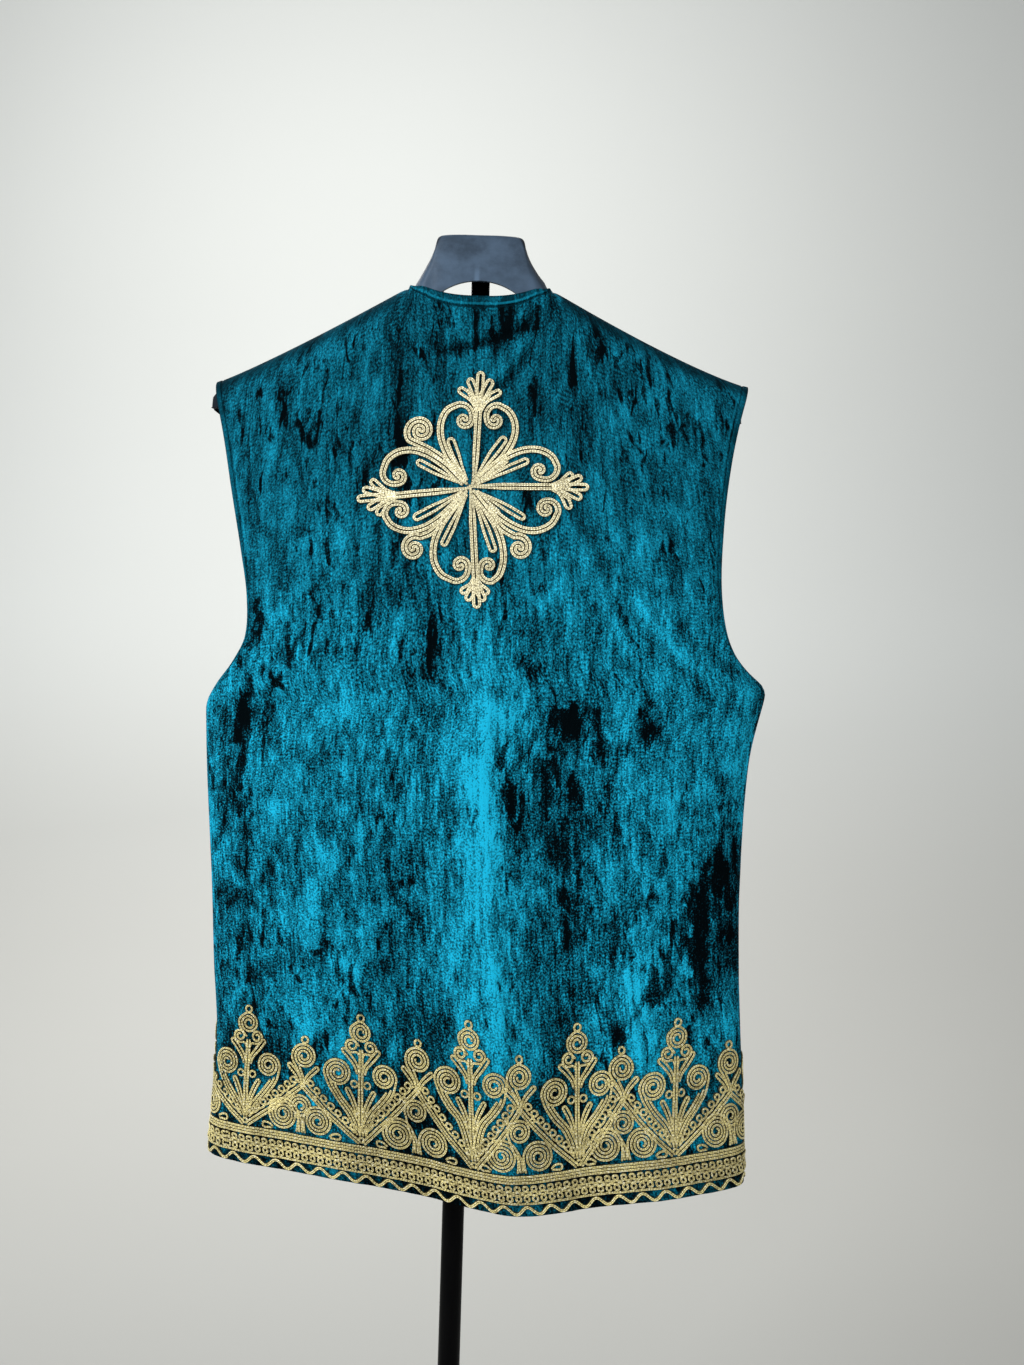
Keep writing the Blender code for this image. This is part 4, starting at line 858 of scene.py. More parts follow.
def smooth_path(points, steps=10):
    """Catmull-Rom curve through given points."""
    points = [np.array(point, dtype=float) for point in points]
    points = [2 * points[0] - points[1]] + points + [2 * points[-1] - points[-2]]
    curve = []
    for k in range(1, len(points) - 2):
        p0, p1, p2, p3 = points[k - 1:k + 3]
        for t in np.linspace(0.0, 1.0, steps, endpoint=False):
            curve.append(0.5 * (2 * p1 + (p2 - p0) * t + (2 * p0 - 5 * p1 + 4 * p2 - p3) * t**2
                                + (3 * p1 - p0 - 3 * p2 + p3) * t**3))
    curve.append(points[-2])
    return np.array(curve)


def beside(path, offset):
    """A path moved sideways, to its left for a positive offset."""
    path = np.asarray(path, dtype=float)
    return path + headings(path)[1] * offset


def spiral(centre, outer, inner, turns, start, way):
    """From the outer radius to the inner one.  `start` is in degrees, `way` +1 is anticlockwise."""
    steps = max(int(turns * 22), 8)
    t = np.linspace(0.0, 1.0, steps + 1)
    angle = math.radians(start) + way * 2 * math.pi * turns * t
    radius = outer + (inner - outer) * t
    return np.stack((centre[0] + radius * np.cos(angle), centre[1] + radius * np.sin(angle)),
                    axis=1)


def ring(centre, radius, start=270.0):
    """A small closed ring."""
    return spiral(centre, radius, radius, 1.0, start, 1)


def folded(axis, half):
    """A cord laid double along an axis: out on its left, round its end and back on its right."""
    half = np.broadcast_to(np.asarray(half, dtype=float), (len(axis),))
    ahead, side = headings(axis)
    turn = np.linspace(math.pi / 2, -math.pi / 2, 9)[1:-1]
    round_end = axis[-1] + half[-1] * (np.sin(turn)[:, None] * side[-1]
                                       + np.cos(turn)[:, None] * ahead[-1])
    return np.concatenate((axis + side * half[:, None], round_end,
                           (axis - side * half[:, None])[::-1]))


def hairpin(axis_points, half, open_base, growth=1.0):
    """A folded cord that starts at a share of its full width and opens out to it."""
    axis = resampled(smooth_path(axis_points, 8), 2.0)
    t = np.linspace(0.0, 1.0, len(axis))
    return folded(axis, half * (open_base + (1 - open_base) * np.minimum(t * 1.5, 1.0) ** growth))


def loops_along(axis_path, pitch, radius, way=1, roundness=1.1):
    """A cord that loops over and over beside a line, like joined-up letters e, and crosses itself."""
    axis = resampled(axis_path, 0.5)
    lengths = path_lengths(axis)
    ahead, side = headings(axis)
    side = side * way
    turns = max(round(lengths[-1] / pitch), 1)
    angle = 2 * math.pi * turns * lengths / lengths[-1] + math.pi
    curl = radius + roundness * pitch / (2 * math.pi)
    flat = axis - ahead * (curl * np.sin(angle))[:, None] + side * (radius * np.cos(angle))[:, None]
    lift = LOOP_RISE * (0.5 + 0.5 * np.cos(angle))
    return np.concatenate((flat, lift[:, None]), axis=1)


# ---------------------------------------------------------------- laying cords on the cloth
def crossing(path, room, k):
    """Where a path crosses the edge of what is kept, between its points k and k + 1."""
    share = room[k] / (room[k] - room[k + 1])
    return path[k] + (path[k + 1] - path[k]) * share


class Cordwork:
    """Couched cords gathered into one mesh.  Each is laid on a surface along a flat path.

    `keep` says how far inside the kept part each point is, `move` carries a drawing to its place, and
    `girth` is the share of a cord's full girth along it.
    """

    def __init__(self, surface, keep=None, girth=None):
        self.surface, self.keep, self.girth, self.move = surface, keep, girth, None
        self.points, self.faces, self.uv, self.count, self.laid = [], [], [], 0, 0

    def lay(self, path, width=2.35, height=1.4, step=1.1, lift=0.0, blunt=False):
        """Lays the kept stretches of one cord, cut off straight where they leave what is kept."""
        path = resampled(path, step)
        if self.move is not None:
            path = self.move(path)
        if self.keep is None:
            self.lay_run(path, width, height, lift, blunt, blunt)
            return
        room = self.keep(path)
        start = None
        for k, here in enumerate(list(room > 0.0) + [False]):
            if here and start is None:
                start = k
            if not here and start is not None:
                run = path[start:k]
                if start > 0:
                    run = np.vstack((crossing(path, room, start - 1), run))
                if k < len(path):
                    run = np.vstack((run, crossing(path, room, k - 1)))
                if len(run) > 2:
                    self.lay_run(run, width, height, lift, start > 0, k < len(path))
                start = None

    def lay_run(self, path, width, height, lift, cut_start, cut_end):
        """Lays one stretch, with round free ends and blunt cut ones."""
        self.laid += 1
        lift = lift + CORD_BED + CORD_STAGGER * (self.laid % 5)
        if path.shape[1] > 2:
            lift = lift + path[:, 2:3]
            path = path[:, :2]
        lengths = path_lengths(path)
        width = np.broadcast_to(np.asarray(width, dtype=float), (len(path),))
        ends = np.minimum(lengths + CUT_LENGTH * cut_start,
                          lengths[-1] - lengths + CUT_LENGTH * cut_end) / (width / 2)
        shrink = np.sqrt(np.clip(1.0 - (1.0 - np.clip(ends + CORD_END, 0.0, 1.0)) ** 2, 0.0, 1.0))
        if self.girth is not None:
            shrink = shrink * self.girth(path)
        across, raised = np.array(CORD_PROFILE).T
        aside = (across[None, :] * (width * shrink)[:, None] / 2)[..., None]
        flat = path[:, None, :] + headings(path)[1][:, None, :] * aside
        spot, normal = self.surface(flat[..., 0].ravel(), flat[..., 1].ravel())
        high = (lift * (raised > 0.0) + height * raised[None, :] * shrink[:, None]).ravel()
        points = spot + normal * high[:, None]
        n, k = len(path), len(CORD_PROFILE)
        index = np.arange(n * k).reshape(n, k)
        under = np.stack((index[:-1, -1], index[:-1, 0], index[1:, 0], index[1:, -1]), axis=1)
        faces = [list(face) for face in np.concatenate((squares(index), under))]
        faces += [list(index[0, ::-1]), list(index[-1])]
        middle = (n // 2) * k + k // 2
        ahead = middle + k if middle + k < n * k else middle
        run = points[ahead] - points[ahead - k]
        wide = points[middle + 1] - points[middle - 1]
        if np.dot(np.cross(wide, run), normal[middle]) < 0:
            faces = [face[::-1] for face in faces]
        self.faces += [[v + self.count for v in face] for face in faces]
        self.points.append(points)
        run_uv = np.repeat(lengths[:, None], k, axis=1) * MM
        across_uv = np.broadcast_to(across[None, :] * 0.5 + 0.5, run_uv.shape)
        self.uv.append(np.stack((run_uv, across_uv), axis=-1).reshape(-1, 2))
        self.count += n * k

    def piece(self, name, finish):
        return mesh_object(name, np.concatenate(self.points), self.faces, [finish],
                           uv=np.concatenate(self.uv))


# ---------------------------------------------------------------- shader maths
class Value:
    """A shader value in a Python expression: each operator adds its Math node."""

    def __init__(self, shader, socket):
        self.shader, self.socket = shader, socket

    def math(self, operation, first, second=0.0):
        return self.shader.node("ShaderNodeMath", {"operation": operation}, {0: first, 1: second})

    def __add__(self, other):
        return self.math("ADD", self, other)

    __radd__ = __add__

    def __sub__(self, other):
        return self.math("SUBTRACT", self, other)

    def __rsub__(self, other):
        return self.math("SUBTRACT", other, self)

    def __mul__(self, other):
        return self.math("MULTIPLY", self, other)

    __rmul__ = __mul__

    def __truediv__(self, other):
        return self.math("DIVIDE", self, other)

    def sine(self):
        return self.math("SINE", self)

    def size(self):
        return self.math("ABSOLUTE", self)

    def step(self, low, high):
        """0 below `low`, 1 above `high`, smooth between."""
        return self.shader.node("ShaderNodeMapRange", {"interpolation_type": "SMOOTHSTEP"},
                                {"Value": self, "From Min": low, "From Max": high})


class Shader:
    """A node material with one method that adds any node."""

    def __init__(self, name):
        self.material = bpy.data.materials.new(name)
        self.material.use_nodes = True
        self.tree = self.material.node_tree
        self.surface = self.tree.nodes["Principled BSDF"]

    def node(self, kind, settings, sockets, output=0):
        made = self.tree.nodes.new(kind)
        for key, value in settings.items():
            if key == "stops":
                self.set_stops(made.color_ramp, value)
            else:
                setattr(made, key, value)
        for key, value in sockets.items():
            self.feed(made.inputs[key], value)
        return Value(self, made.outputs[output])

    def feed(self, socket, value):
        if isinstance(value, Value):
            self.tree.links.new(value.socket, socket)
        else:
            socket.default_value = value

    @staticmethod
    def set_stops(ramp, stops):
        while len(ramp.elements) < len(stops):
            ramp.elements.new(0.5)
        for element, (place, colour) in zip(ramp.elements, stops):
            element.position = place
            element.color = (*colour, 1.0)

    def set(self, **values):
        """Feeds the surface's sockets, named with an underline for each space."""
        for key, value in values.items():
            self.feed(self.surface.inputs[key.replace("_", " ")], value)

    def lay(self):
        """Place on the flat cloth, or along and across a cord."""
        return self.node("ShaderNodeUVMap", {"uv_map": "lay"}, {})

    def attribute(self, name):
        """A number that the mesh carries at each point."""
        return self.node("ShaderNodeAttribute", {"attribute_name": name}, {}, output=2)

    def object_place(self):
        return self.node("ShaderNodeTexCoord", {}, {}, output=3)

    def part(self, place, name):
        return self.node("ShaderNodeSeparateXYZ", {}, {0: place}, output={"x": 0, "y": 1, "z": 2}[name])

    def scaled(self, place, scale):
        return self.node("ShaderNodeMapping", {}, {"Vector": place, "Scale": scale})

    def noise(self, place, scale, detail=3.0, rough=0.5, distortion=0.0):
        """Noise stretched by its own scale along each axis."""
        return self.node("ShaderNodeTexNoise", {},
                         {"Vector": self.scaled(place, scale), "Scale": 1.0, "Detail": detail,
                          "Roughness": rough, "Distortion": distortion})

    def mix(self, share, first, second):
        return self.node("ShaderNodeMix", {"data_type": "RGBA"}, {0: share, 6: first, 7: second},
                         output=2)

    def bump(self, height, distance, strength):
        return self.node("ShaderNodeBump", {}, {"Height": height, "Distance": distance,
                                                "Strength": strength})


def colour(red, green, blue):
    """An sRGB colour from 0 to 255 as a linear one with alpha."""
    def linear(value):
        share = value / 255.0
        return share / 12.92 if share <= 0.04045 else ((share + 0.055) / 1.055) ** 2.4
    return (linear(red), linear(green), linear(blue), 1.0)


def shade(base, factor):
    """A linear colour made lighter or darker."""
    return (base[0] * factor, base[1] * factor, base[2] * factor, 1.0)


# ---------------------------------------------------------------- materials
MATERIALS = {}


def material(name):
    """A material by the name of its function, made once."""
    if name not in MATERIALS:
        MATERIALS[name] = MAKERS[name]().material
    return MATERIALS[name]


def settings():
    """What the sidebar sets."""
    return bpy.context.scene.folk_vest


def crushed_velvet():
    """Pile pressed in vertical streaks, with near-black flecks and bright patches, and painted shade and
    highlight on creases, edges, the upper back and round the hem's cords.
    """
    shader = Shader("crushed_velvet")
    place = shader.lay()
    pile = (*settings().velvet_colour, 1.0)
    height = shader.part(place, "y")

    def uneven(scale, gain, detail=2.0, rough=0.5, distortion=0.0):
        return (shader.noise(place, (*scale, 1.0), detail, rough, distortion) - 0.5) * gain

    # `tone` runs from 0, pile pressed black, to 1, pile brushed bright; painted shade and highlight are
    # added to it.  Heights are metres up the cloth.
    cloud = uneven((9.0, 5.0), 0.75)
    patch = uneven((52.0, 24.0), 1.35, 3.0, 0.55, 0.6)
    streak = uneven((230.0, 62.0), 1.35, 3.0, 0.6, 0.4)
    thread = uneven((560.0, 20.0), 0.55, 1.0)
    grain = uneven((660.0, 580.0), 1.85, 1.0, 0.6)
    fold, spot = shader.attribute("fold"), shader.attribute("spot")
    edge, neck = shader.attribute("edge"), shader.attribute("neck")
    # Painted shade on the upper back, which leans away from the light: darker and calmer above the
    # underarm.
    upper = height.step(0.38, 0.6)
    # Painted shade on the velvet among the hem's cords.
    cord_shade = 1.0 - height.step(0.085, 0.135)
    # Painted shade on the velvet of the hem's band and the strip under it.
    under = 1.0 - height.step(0.03, 0.04)
    wild = (cloud + patch + streak + thread + grain) * (1.0 - upper * 0.44 - under * 0.4)
    # `fold` paints a highlight on crease ridges and shade in their troughs.
    tone = 0.517 + wild + fold * 0.105 + spot * 0.26 - upper * 0.13 - cord_shade * 0.19 - under * 0.2
    fleck = shader.noise(place, (98.0, 37.0, 1.0), 2.5, 0.5, 0.7)
    small_fleck = shader.noise(place, (165.0, 62.0, 1.0), 2.0, 0.5, 0.5)
    cluster = shader.noise(place, (17.0, 10.0, 1.0), 1.0, 0.5)
    black = (fleck * 0.74 + cluster * 0.26 - spot * 0.17).step(0.585, 0.655)
    nick = (small_fleck * 0.72 + cluster * 0.28 - spot * 0.12).step(0.59, 0.64)
    tone = tone - black * 0.5 - nick * 0.3 * (1.0 - black)
    body = shader.node("ShaderNodeValToRGB", {"stops": (
        (0.0, shade(pile, 0.012)[:3]), (0.22, shade(pile, 0.14)[:3]), (0.4, shade(pile, 0.52)[:3]),
        (0.6, shade(pile, 1.15)[:3]), (0.8, shade(pile, 1.95)[:3]), (1.0, shade(pile, 3.1)[:3]))},
        {"Fac": tone})
    arm = height.step(0.41, 0.43) * (1.0 - neck)
    seam = height.step(0.664, 0.676) * (1.0 - neck)
    stitched = 1.0 - ((edge - 1.0) / STITCH_SHARE).size().step(0.2, 1.0)
    lip_highlight = 1.0 - ((edge - 0.72) / 0.16).size().step(0.2, 1.0)
    shine = 1.0 - ((edge - 1.5) / 0.3).size().step(0.1, 1.0)
    turned_in_shade = 1.0 - edge.step(0.85, 1.0)
    fall_shade = 1.0 - edge.step(0.05, 0.26)
    # Painted shade on the rolled armhole edge, then on the rolled neck edge.
    body = shader.mix(arm * turned_in_shade * 0.5, body, shade(pile, 0.42))
    body = shader.mix(neck * (1.0 - edge.step(0.45, 0.7)) * 0.5, body, shade(pile, 0.26))
    # Painted highlights on the neck's lip and just inside the armhole's stitch line.
    body = shader.mix(lip_highlight * neck * cloud.step(-0.1, 0.08) * 0.5, body, shade(pile, 2.2))
    body = shader.mix(shine * arm * cloud.step(-0.08, 0.1) * 0.4, body, shade(pile, 2.0))
    # Painted shade in the stitched groove and where the edge falls away.
    body = shader.mix(stitched * (0.4 + neck * 0.4) + fall_shade * 0.5, body, shade(pile, 0.07))
    # Painted shade along the shoulder seam, where the cloth rolls over the shoulder.
    body = shader.mix(seam * 0.75, body, shade(pile, 0.09))
    relief = streak * 0.5 + patch * 0.35 + grain * 0.12 - stitched * 0.5
    shader.set(Base_Color=body, Roughness=0.85, Specular_IOR_Level=0.03,
               Normal=shader.bump(relief, 0.002, 0.9))
    return shader


REVERSE_RIBS = 4200.0        # radians to a metre
REVERSE_COURSES = 3300.0


def velvet_reverse():
    """The knitted wrong side of the velvet."""
    shader = Shader("velvet_reverse")
    place = shader.lay()
    pile = (*settings().velvet_colour, 1.0)
    across, upward = shader.part(place, "x"), shader.part(place, "y")
    rib = (across * REVERSE_RIBS).sine() * 0.5 + 0.5
    course = (upward * REVERSE_COURSES).sine() * 0.5 + 0.5
    patch = shader.noise(place, (16.0, 16.0, 1.0), 3.0)
    body = shader.mix(patch, shade(pile, 0.32), shade(pile, 0.5))
    body = shader.mix(rib * course * 0.5, body, shade(pile, 0.16))
    shader.set(Base_Color=body, Roughness=0.9, Specular_IOR_Level=0.15,
               Normal=shader.bump(rib * course, 0.0003, 0.6))
    return shader


def gold_braid(name="gold_braid", tone=2.65, furrow=0.8, tarnish=0.6, green=1.0, blue=1.0):
    """Two strands of pale metal thread, plaited in slanted stitches, with painted shade between the
    stitches, in the line between the strands and along the edges, and painted glints.

    `tone` brightens the metal, `furrow` darkens the line between the strands as painted shade, `tarnish`
    is the brightness of dull places, and `green` and `blue` shift the hue.
    """
    shader = Shader(name)
    place = shader.lay()
    along_cord, across = shader.part(place, "x"), shader.part(place, "y")
    middle = (across - 0.5).size() * 2.0
    slant = along_cord * (2 * math.pi / settings().stitch_length / MM) + middle * 2.4
    stitch = slant.sine() * 0.5 + 0.5
    centre = 1.0 - middle.step(0.02, 0.3)
    rim = middle.step(0.6, 0.86)
    where = shader.object_place()
    blotch = shader.noise(where, (34.0, 34.0, 34.0), 3.0)
    glint = shader.noise(where, (700.0, 700.0, 700.0), 1.0)
    red, dull_green, dull_blue = settings().braid_colour
    gold = shade((red, dull_green * green, dull_blue * blue, 1.0), tone)
    body = shader.mix(blotch.step(0.3, 0.7), shade(gold, tarnish), shade(gold, 1.1))
    # Painted shade between the slanted stitches.
    body = shader.mix(stitch.step(0.25, 0.9) * 0.5, body, shade(gold, 0.34))
    # Painted glints of pale metal.
    body = shader.mix(glint.step(0.54, 0.68) * 0.8, body, shade(colour(236, 231, 202), tone * 0.66))
    dull = (1.0 - glint.step(0.34, 0.47)) * 0.65
    body = shader.mix(dull, body, colour(96, 84, 76))
    # Painted shade in the line between the strands and along the cord's edges, where neighbouring cords
    # meet.
    body = shader.mix(centre * furrow, body, shade(gold, 0.1))
    body = shader.mix(rim * 0.95, body, shade(gold, 0.03))
    relief = stitch * 0.5 - centre * furrow - rim
    shader.set(Base_Color=body, Roughness=0.42, Metallic=0.2, Normal=shader.bump(relief, 0.0008, 0.9))
    return shader


def pale_braid():
    """The medallion's braid, paler and bluer than the hem's, with brighter dull places and less painted
    shade in its furrow.
    """
    return gold_braid("pale_braid", tone=2.55, furrow=0.5, tarnish=0.86, green=1.05, blue=1.55)


def form_plastic():
    """Moulded blue-grey plastic, smudged and scuffed: painted shade along the sides, the top edge and the
    tips, a painted gleam down the middle, and painted light below the neck.
    """
    shader = Shader("form_plastic")
    place = shader.object_place()
    plastic = (*settings().form_colour, 1.0)
    smudge = shader.noise(place, (38.0, 38.0, 52.0), 4.0, 0.65)
    grain = shader.noise(place, (1400.0, 1400.0, 1400.0), 2.0)
    scuff = shader.noise(place, (60.0, 60.0, 9.0), 5.0, 0.7)
    body = shader.mix(smudge.step(0.3, 0.7), shade(plastic, 0.66), shade(plastic, 1.28))
    body = shader.mix(scuff.step(0.6, 0.75) * 0.25, body, shade(plastic, 1.5))
    # Metres: across from the middle, over the floor, and down from the neck block's top.
    side, height = shader.part(place, "x"), shader.part(place, "z")
    down = NECK_BLOCK[0].top * MM - height
    half_width = 0.0353 + down * 0.397 + down * down * 2.83
    # Painted shade along the sides, which turn away from the light.
    outline = (side.size() / half_width).step(0.87, 0.95)
    body = shader.mix(outline * 0.92, body, shade(plastic, 0.06))
    # A painted highlight down the middle of the neck block.
    gleam = (1.0 - (side - 0.0022).size().step(0.0005, 0.0035)) * (1.0 - height.step(1.318, 1.334))
    body = shader.mix(gleam * 0.8, body, shade(plastic, 2.3))
    # Painted light, lighter towards the bottom of the neck block and below it.
    body = shader.mix((1.0 - height.step(1.312, 1.345)) * 0.35, body, shade(plastic, 1.7))
    # Painted shade along the top edge of the neck block.
    body = shader.mix(height.step(1.3582, 1.3594) * 0.7, body, shade(plastic, 0.2))
    # Painted shade on the shoulder tips.
    tip = side.size().step(0.17, 0.21)
    body = shader.mix(tip * 0.9, body, shade(plastic, 0.06))
    shader.set(Base_Color=body, Roughness=0.4 + smudge * 0.2 + tip * 0.4, Specular_IOR_Level=0.2,
               Normal=shader.bump(grain + scuff * 0.3, 0.00025, 0.5))
    return shader


def black_metal():
    """Satin black powder coat, dusty and a little worn."""
    shader = Shader("black_metal")
    place = shader.object_place()
    peel = shader.noise(place, (700.0, 700.0, 700.0), 2.0)
    dust = shader.noise(place, (30.0, 30.0, 8.0), 4.0)
    rub = shader.noise(place, (160.0, 160.0, 6.0), 3.0)
    body = shader.mix(dust.step(0.45, 0.8), colour(3, 3, 4), colour(9, 9, 10))
    shader.set(Base_Color=body, Roughness=0.34 + rub * 0.2, Specular_IOR_Level=0.05,
               Normal=shader.bump(peel, 0.0002, 0.4))
    return shader


def black_plastic():
    """Fine-grained black plastic of the clamp."""
    shader = Shader("black_plastic")
    place = shader.object_place()
    grain = shader.noise(place, (1800.0, 1800.0, 1800.0), 2.0)
    dust = shader.noise(place, (55.0, 55.0, 55.0), 3.0)
    body = shader.mix(dust, colour(16, 16, 18), colour(34, 34, 36))
    shader.set(Base_Color=body, Roughness=0.5 + dust * 0.15, Normal=shader.bump(grain, 0.0002, 0.5))
    return shader


def pale_floor():
    """Matt paint of the studio's floor and wall, slightly uneven, with painted shade on the floor,
    lighter up the wall.
    """
    shader = Shader("pale_floor")
    place = shader.object_place()
    cloud = shader.noise(place, (0.7, 0.7, 0.7), 2.0)
    # Painted shade on the floor, lighter up the wall.
    high = shader.part(place, "z").step(0.0, 1.3)
    body = shader.mix(high, colour(186, 185, 180), colour(216, 218, 215))
    body = shader.mix(cloud * 0.3, body, colour(205, 206, 202))
    shader.set(Base_Color=body, Roughness=0.9, Specular_IOR_Level=0.1)
    return shader


MAKERS = {maker.__name__: maker for maker in (
    crushed_velvet, velvet_reverse, gold_braid, pale_braid, form_plastic, black_metal, black_plastic,
    pale_floor)}


# ---------------------------------------------------------------- velvet
Cut = namedtuple("Cut", "which node flat")
CUTS = (                     # the flat sizes, in metres, as cut before sewing
    Cut("back", "back_panel", (0.53, 0.80)),
    Cut("front_left", "front_panel_left", (0.27, 0.80)),
    Cut("front_right", "front_panel_right", (0.27, 0.80)),
)
SEWN_ON = {cut.which: [] for cut in CUTS}


def make_panel(cut):
    """The velvet of one panel, with its pile outside."""
    piece = panel(cut.which).solid(cut.node + "_velvet",
                                   [material("crushed_velvet"), material("velvet_reverse")])
    enter(piece, "display", cut.node)


def sew_on(which, work, name, node, metal="gold_braid"):
    """Makes one piece of braid work and notes the panel that it is sewn on."""
    piece = work.piece(name, material(metal))
    enter(piece, "display", node)
    SEWN_ON[which].append(piece)


# ---------------------------------------------------------------- hem braid
# A tree is drawn on a flat sheet: sideways from its foot, and up from the hem.
def hem_reach(here):
    """Arcs at which the hem's work on a panel begins and ends."""
    first, last = here.limits(0.0)
    return first * QUARTER_GIRTH + HEM_MARGIN, last * QUARTER_GIRTH - HEM_MARGIN


def kept_between(first, last):
    """How far inside two arcs each point of a path is."""
    def keep(path):
        return np.minimum(path[:, 0] - first, last - path[:, 0])
    return keep


def coil(centre, outer, start, way, eye=2.1):
    """One cord wound in to an open eye."""
    radius = outer - HEM_CORD / 2 + 0.5
    return spiral(centre, radius, eye, (radius - eye) / HEM_PITCH, start, way)


def joined(points, curl):
    """Given points that run smoothly into a curl."""
    return np.concatenate((smooth_path(list(points) + [tuple(curl[0])], 8)[:-1], curl))


def big_tree(work, tip):
    """Tip ring, three coils, stem, two leaf pairs, side scrolls and small rings."""
    work.lay(ring((0.0, tip - 4.0), 2.9, 120.0), 2.2)
    crown = coil((0.0, tip - 16.3), 9.2, 140.0, 1)
    work.lay(joined([(1.0, tip - 6.6), (-3.0, tip - 8.4)], crown))
    work.lay(smooth_path([(-1.0, tip - 6.6), (3.6, tip - 8.2), (8.8, tip - 13.0), (8.8, tip - 19.0),
                          (5.6, tip - 24.0), (1.6, tip - 28.5)], 6))
    work.lay(ring((0.0, BAND_TOP + 4.4), 2.2), 2.1, lift=0.3)
    for side in (1, -1):
        bud = spiral((side * 8.2, tip - 28.0), 6.2, 1.5, 1.7, 262.0 - side * 20.0, side)
        work.lay(joined([(side * 1.4, tip - 38.0), (side * 2.8, tip - 34.5)], bud))
        work.lay([(side * 1.25, tip - 31.0), (side * 1.25, BAND_TOP + 7.0)], step=2.0, lift=0.15)
        leaf = [(side * 2.2, tip - 52.0), (side * 4.2, tip - 45.5), (side * 9.4, tip - 38.5),
                (side * 15.0, tip - 32.0 - side)]
        work.lay(hairpin(leaf, 1.75, 0.6))
        blade = [(side * 2.4, tip - 90.0), (side * 4.4, tip - 81.5), (side * 7.8, tip - 73.0),
                 (side * 11.4, tip - 66.5)]
        work.lay(hairpin(blade, 1.55, 0.6))
        work.lay(ring((side * 5.6, tip - 60.8), 2.75, 90.0 + side * 90.0), 2.1)
        scroll = coil((side * 20.4, tip - 52.0 - side), 12.2 + 0.6 * side, 90.0 - side * 97.0, side)
        lead = joined([(side * 3.4, BAND_TOP + 8.0), (side * 11.0, tip - 88.0),
                       (side * 20.6, tip - 76.0), (side * 28.2, tip - 64.5)], scroll)
        work.lay(lead)
        rise = resampled(lead[:27], 1.2)
        work.lay(beside(rise, side * 1.03 * HEM_CORD))
        work.lay(beside(rise[:-4], side * 2.06 * HEM_CORD))


def small_tree(work, tip):
    """Tip ring, one coil, a leaf pair, and three coils below the junction."""
    fork, floor = tip - JUNCTION_DROP, BAND_TOP
    work.lay(ring((0.0, tip - 3.9), 2.8, 80.0), 2.2)
    crown = coil((0.0, tip - 18.2), 12.2, -48.0, 1)
    work.lay(joined([(0.6, fork - 1.0), (2.4, fork + 7.5)], crown))
    work.lay(smooth_path([(-1.8, fork - 1.0), (-0.4, fork + 6.5), (2.2, fork + 12.5),
                          (4.0, fork + 16.0)], 6))
    middle = coil((0.6, fork - 19.3), 11.2, -30.0, 1)
    work.lay(joined([(1.2, floor + 2.0), (1.9, floor + 12.0), (6.2, floor + 20.0)], middle))
    work.lay(smooth_path([(-1.3, floor + 2.0), (-0.6, floor + 12.0), (3.0, floor + 20.5)], 6))
    for side, across, radius in ((1, 16.6, 15.2), (-1, 15.2, 13.8)):
        leaf = [(side * 1.6, fork + 1.0), (side * 5.4, fork + 8.0), (side * 12.4, fork + 15.5)]
        work.lay(hairpin(leaf, 1.6, 0.7))
        height = floor + radius + 0.3
        base = coil((side * across, height), radius, 90.0 + side * 95.0, -side)
        work.lay(joined([(side * 3.8, floor + 1.6), (side * 2.9, floor + 6.0)], base))
        eyelet = [(side * 26.0, floor + 2.2), (side * 29.0, floor + 3.6), (side * 33.0, floor + 3.8)]
        work.lay(hairpin(eyelet, 2.3, 0.3), 2.2)
        work.lay(ring((side * 11.6, fork - 10.5), 1.7, 0.0), 2.0)


def leaning(tree):
    """Moves a drawing on to its tree's foot, leaning towards its tip."""
    lean = (tree.tip_arc - tree.arc) / (tree.tip_height - BAND_TOP)

    def move(path):
        moved = path.copy()
        moved[:, 0] += tree.arc + lean * (path[:, 1] - BAND_TOP)
        return moved
    return move


def v_line(low_tree, high_tree):
    """From the foot of a big tree up to the junction of its small neighbour."""
    side = 1 if high_tree.arc > low_tree.arc else -1
    fork = high_tree.tip_height - JUNCTION_DROP
    across = leaning(high_tree)(np.array([[0.0, fork]]))[0, 0]
    foot = (low_tree.arc + side * 1.4, BAND_TOP + 1.6)
    bend = ((foot[0] + across) / 2 + side * 1.2, (foot[1] + fork) / 2 - 1.2)
    return smooth_path([foot, bend, (across + side * 1.5, fork + 0.5)], 12), side


def hem_trees(here):
    """The trees and the V lines between them, for one panel."""
    first, last = hem_reach(here)
    work = Cordwork(here.at_hem, kept_between(first, last))
    for before, tree, after in zip((None,) + TREES, TREES, TREES[1:] + (None,)):
        if not first - TREE_REACH < tree.arc < last + TREE_REACH:
            continue
        work.move = leaning(tree)
        if not tree.big:
            small_tree(work, tree.tip_height)
            continue
        big_tree(work, tree.tip_height)
        work.move = None
        for neighbour in filter(None, (before, after)):
            line, side = v_line(tree, neighbour)
            line = resampled(line, 1.5)
            for offset in (-HEM_CORD / 2, HEM_CORD / 2):
                work.lay(beside(line, offset), lift=0.1)
            row = beside(line, side * (1.6 * HEM_CORD + LOOP_RADIUS))[5:-1]
            work.lay(loops_along(row, 7.9, LOOP_RADIUS, side, 1.0), 2.2, 1.4, 0.9)
    return work


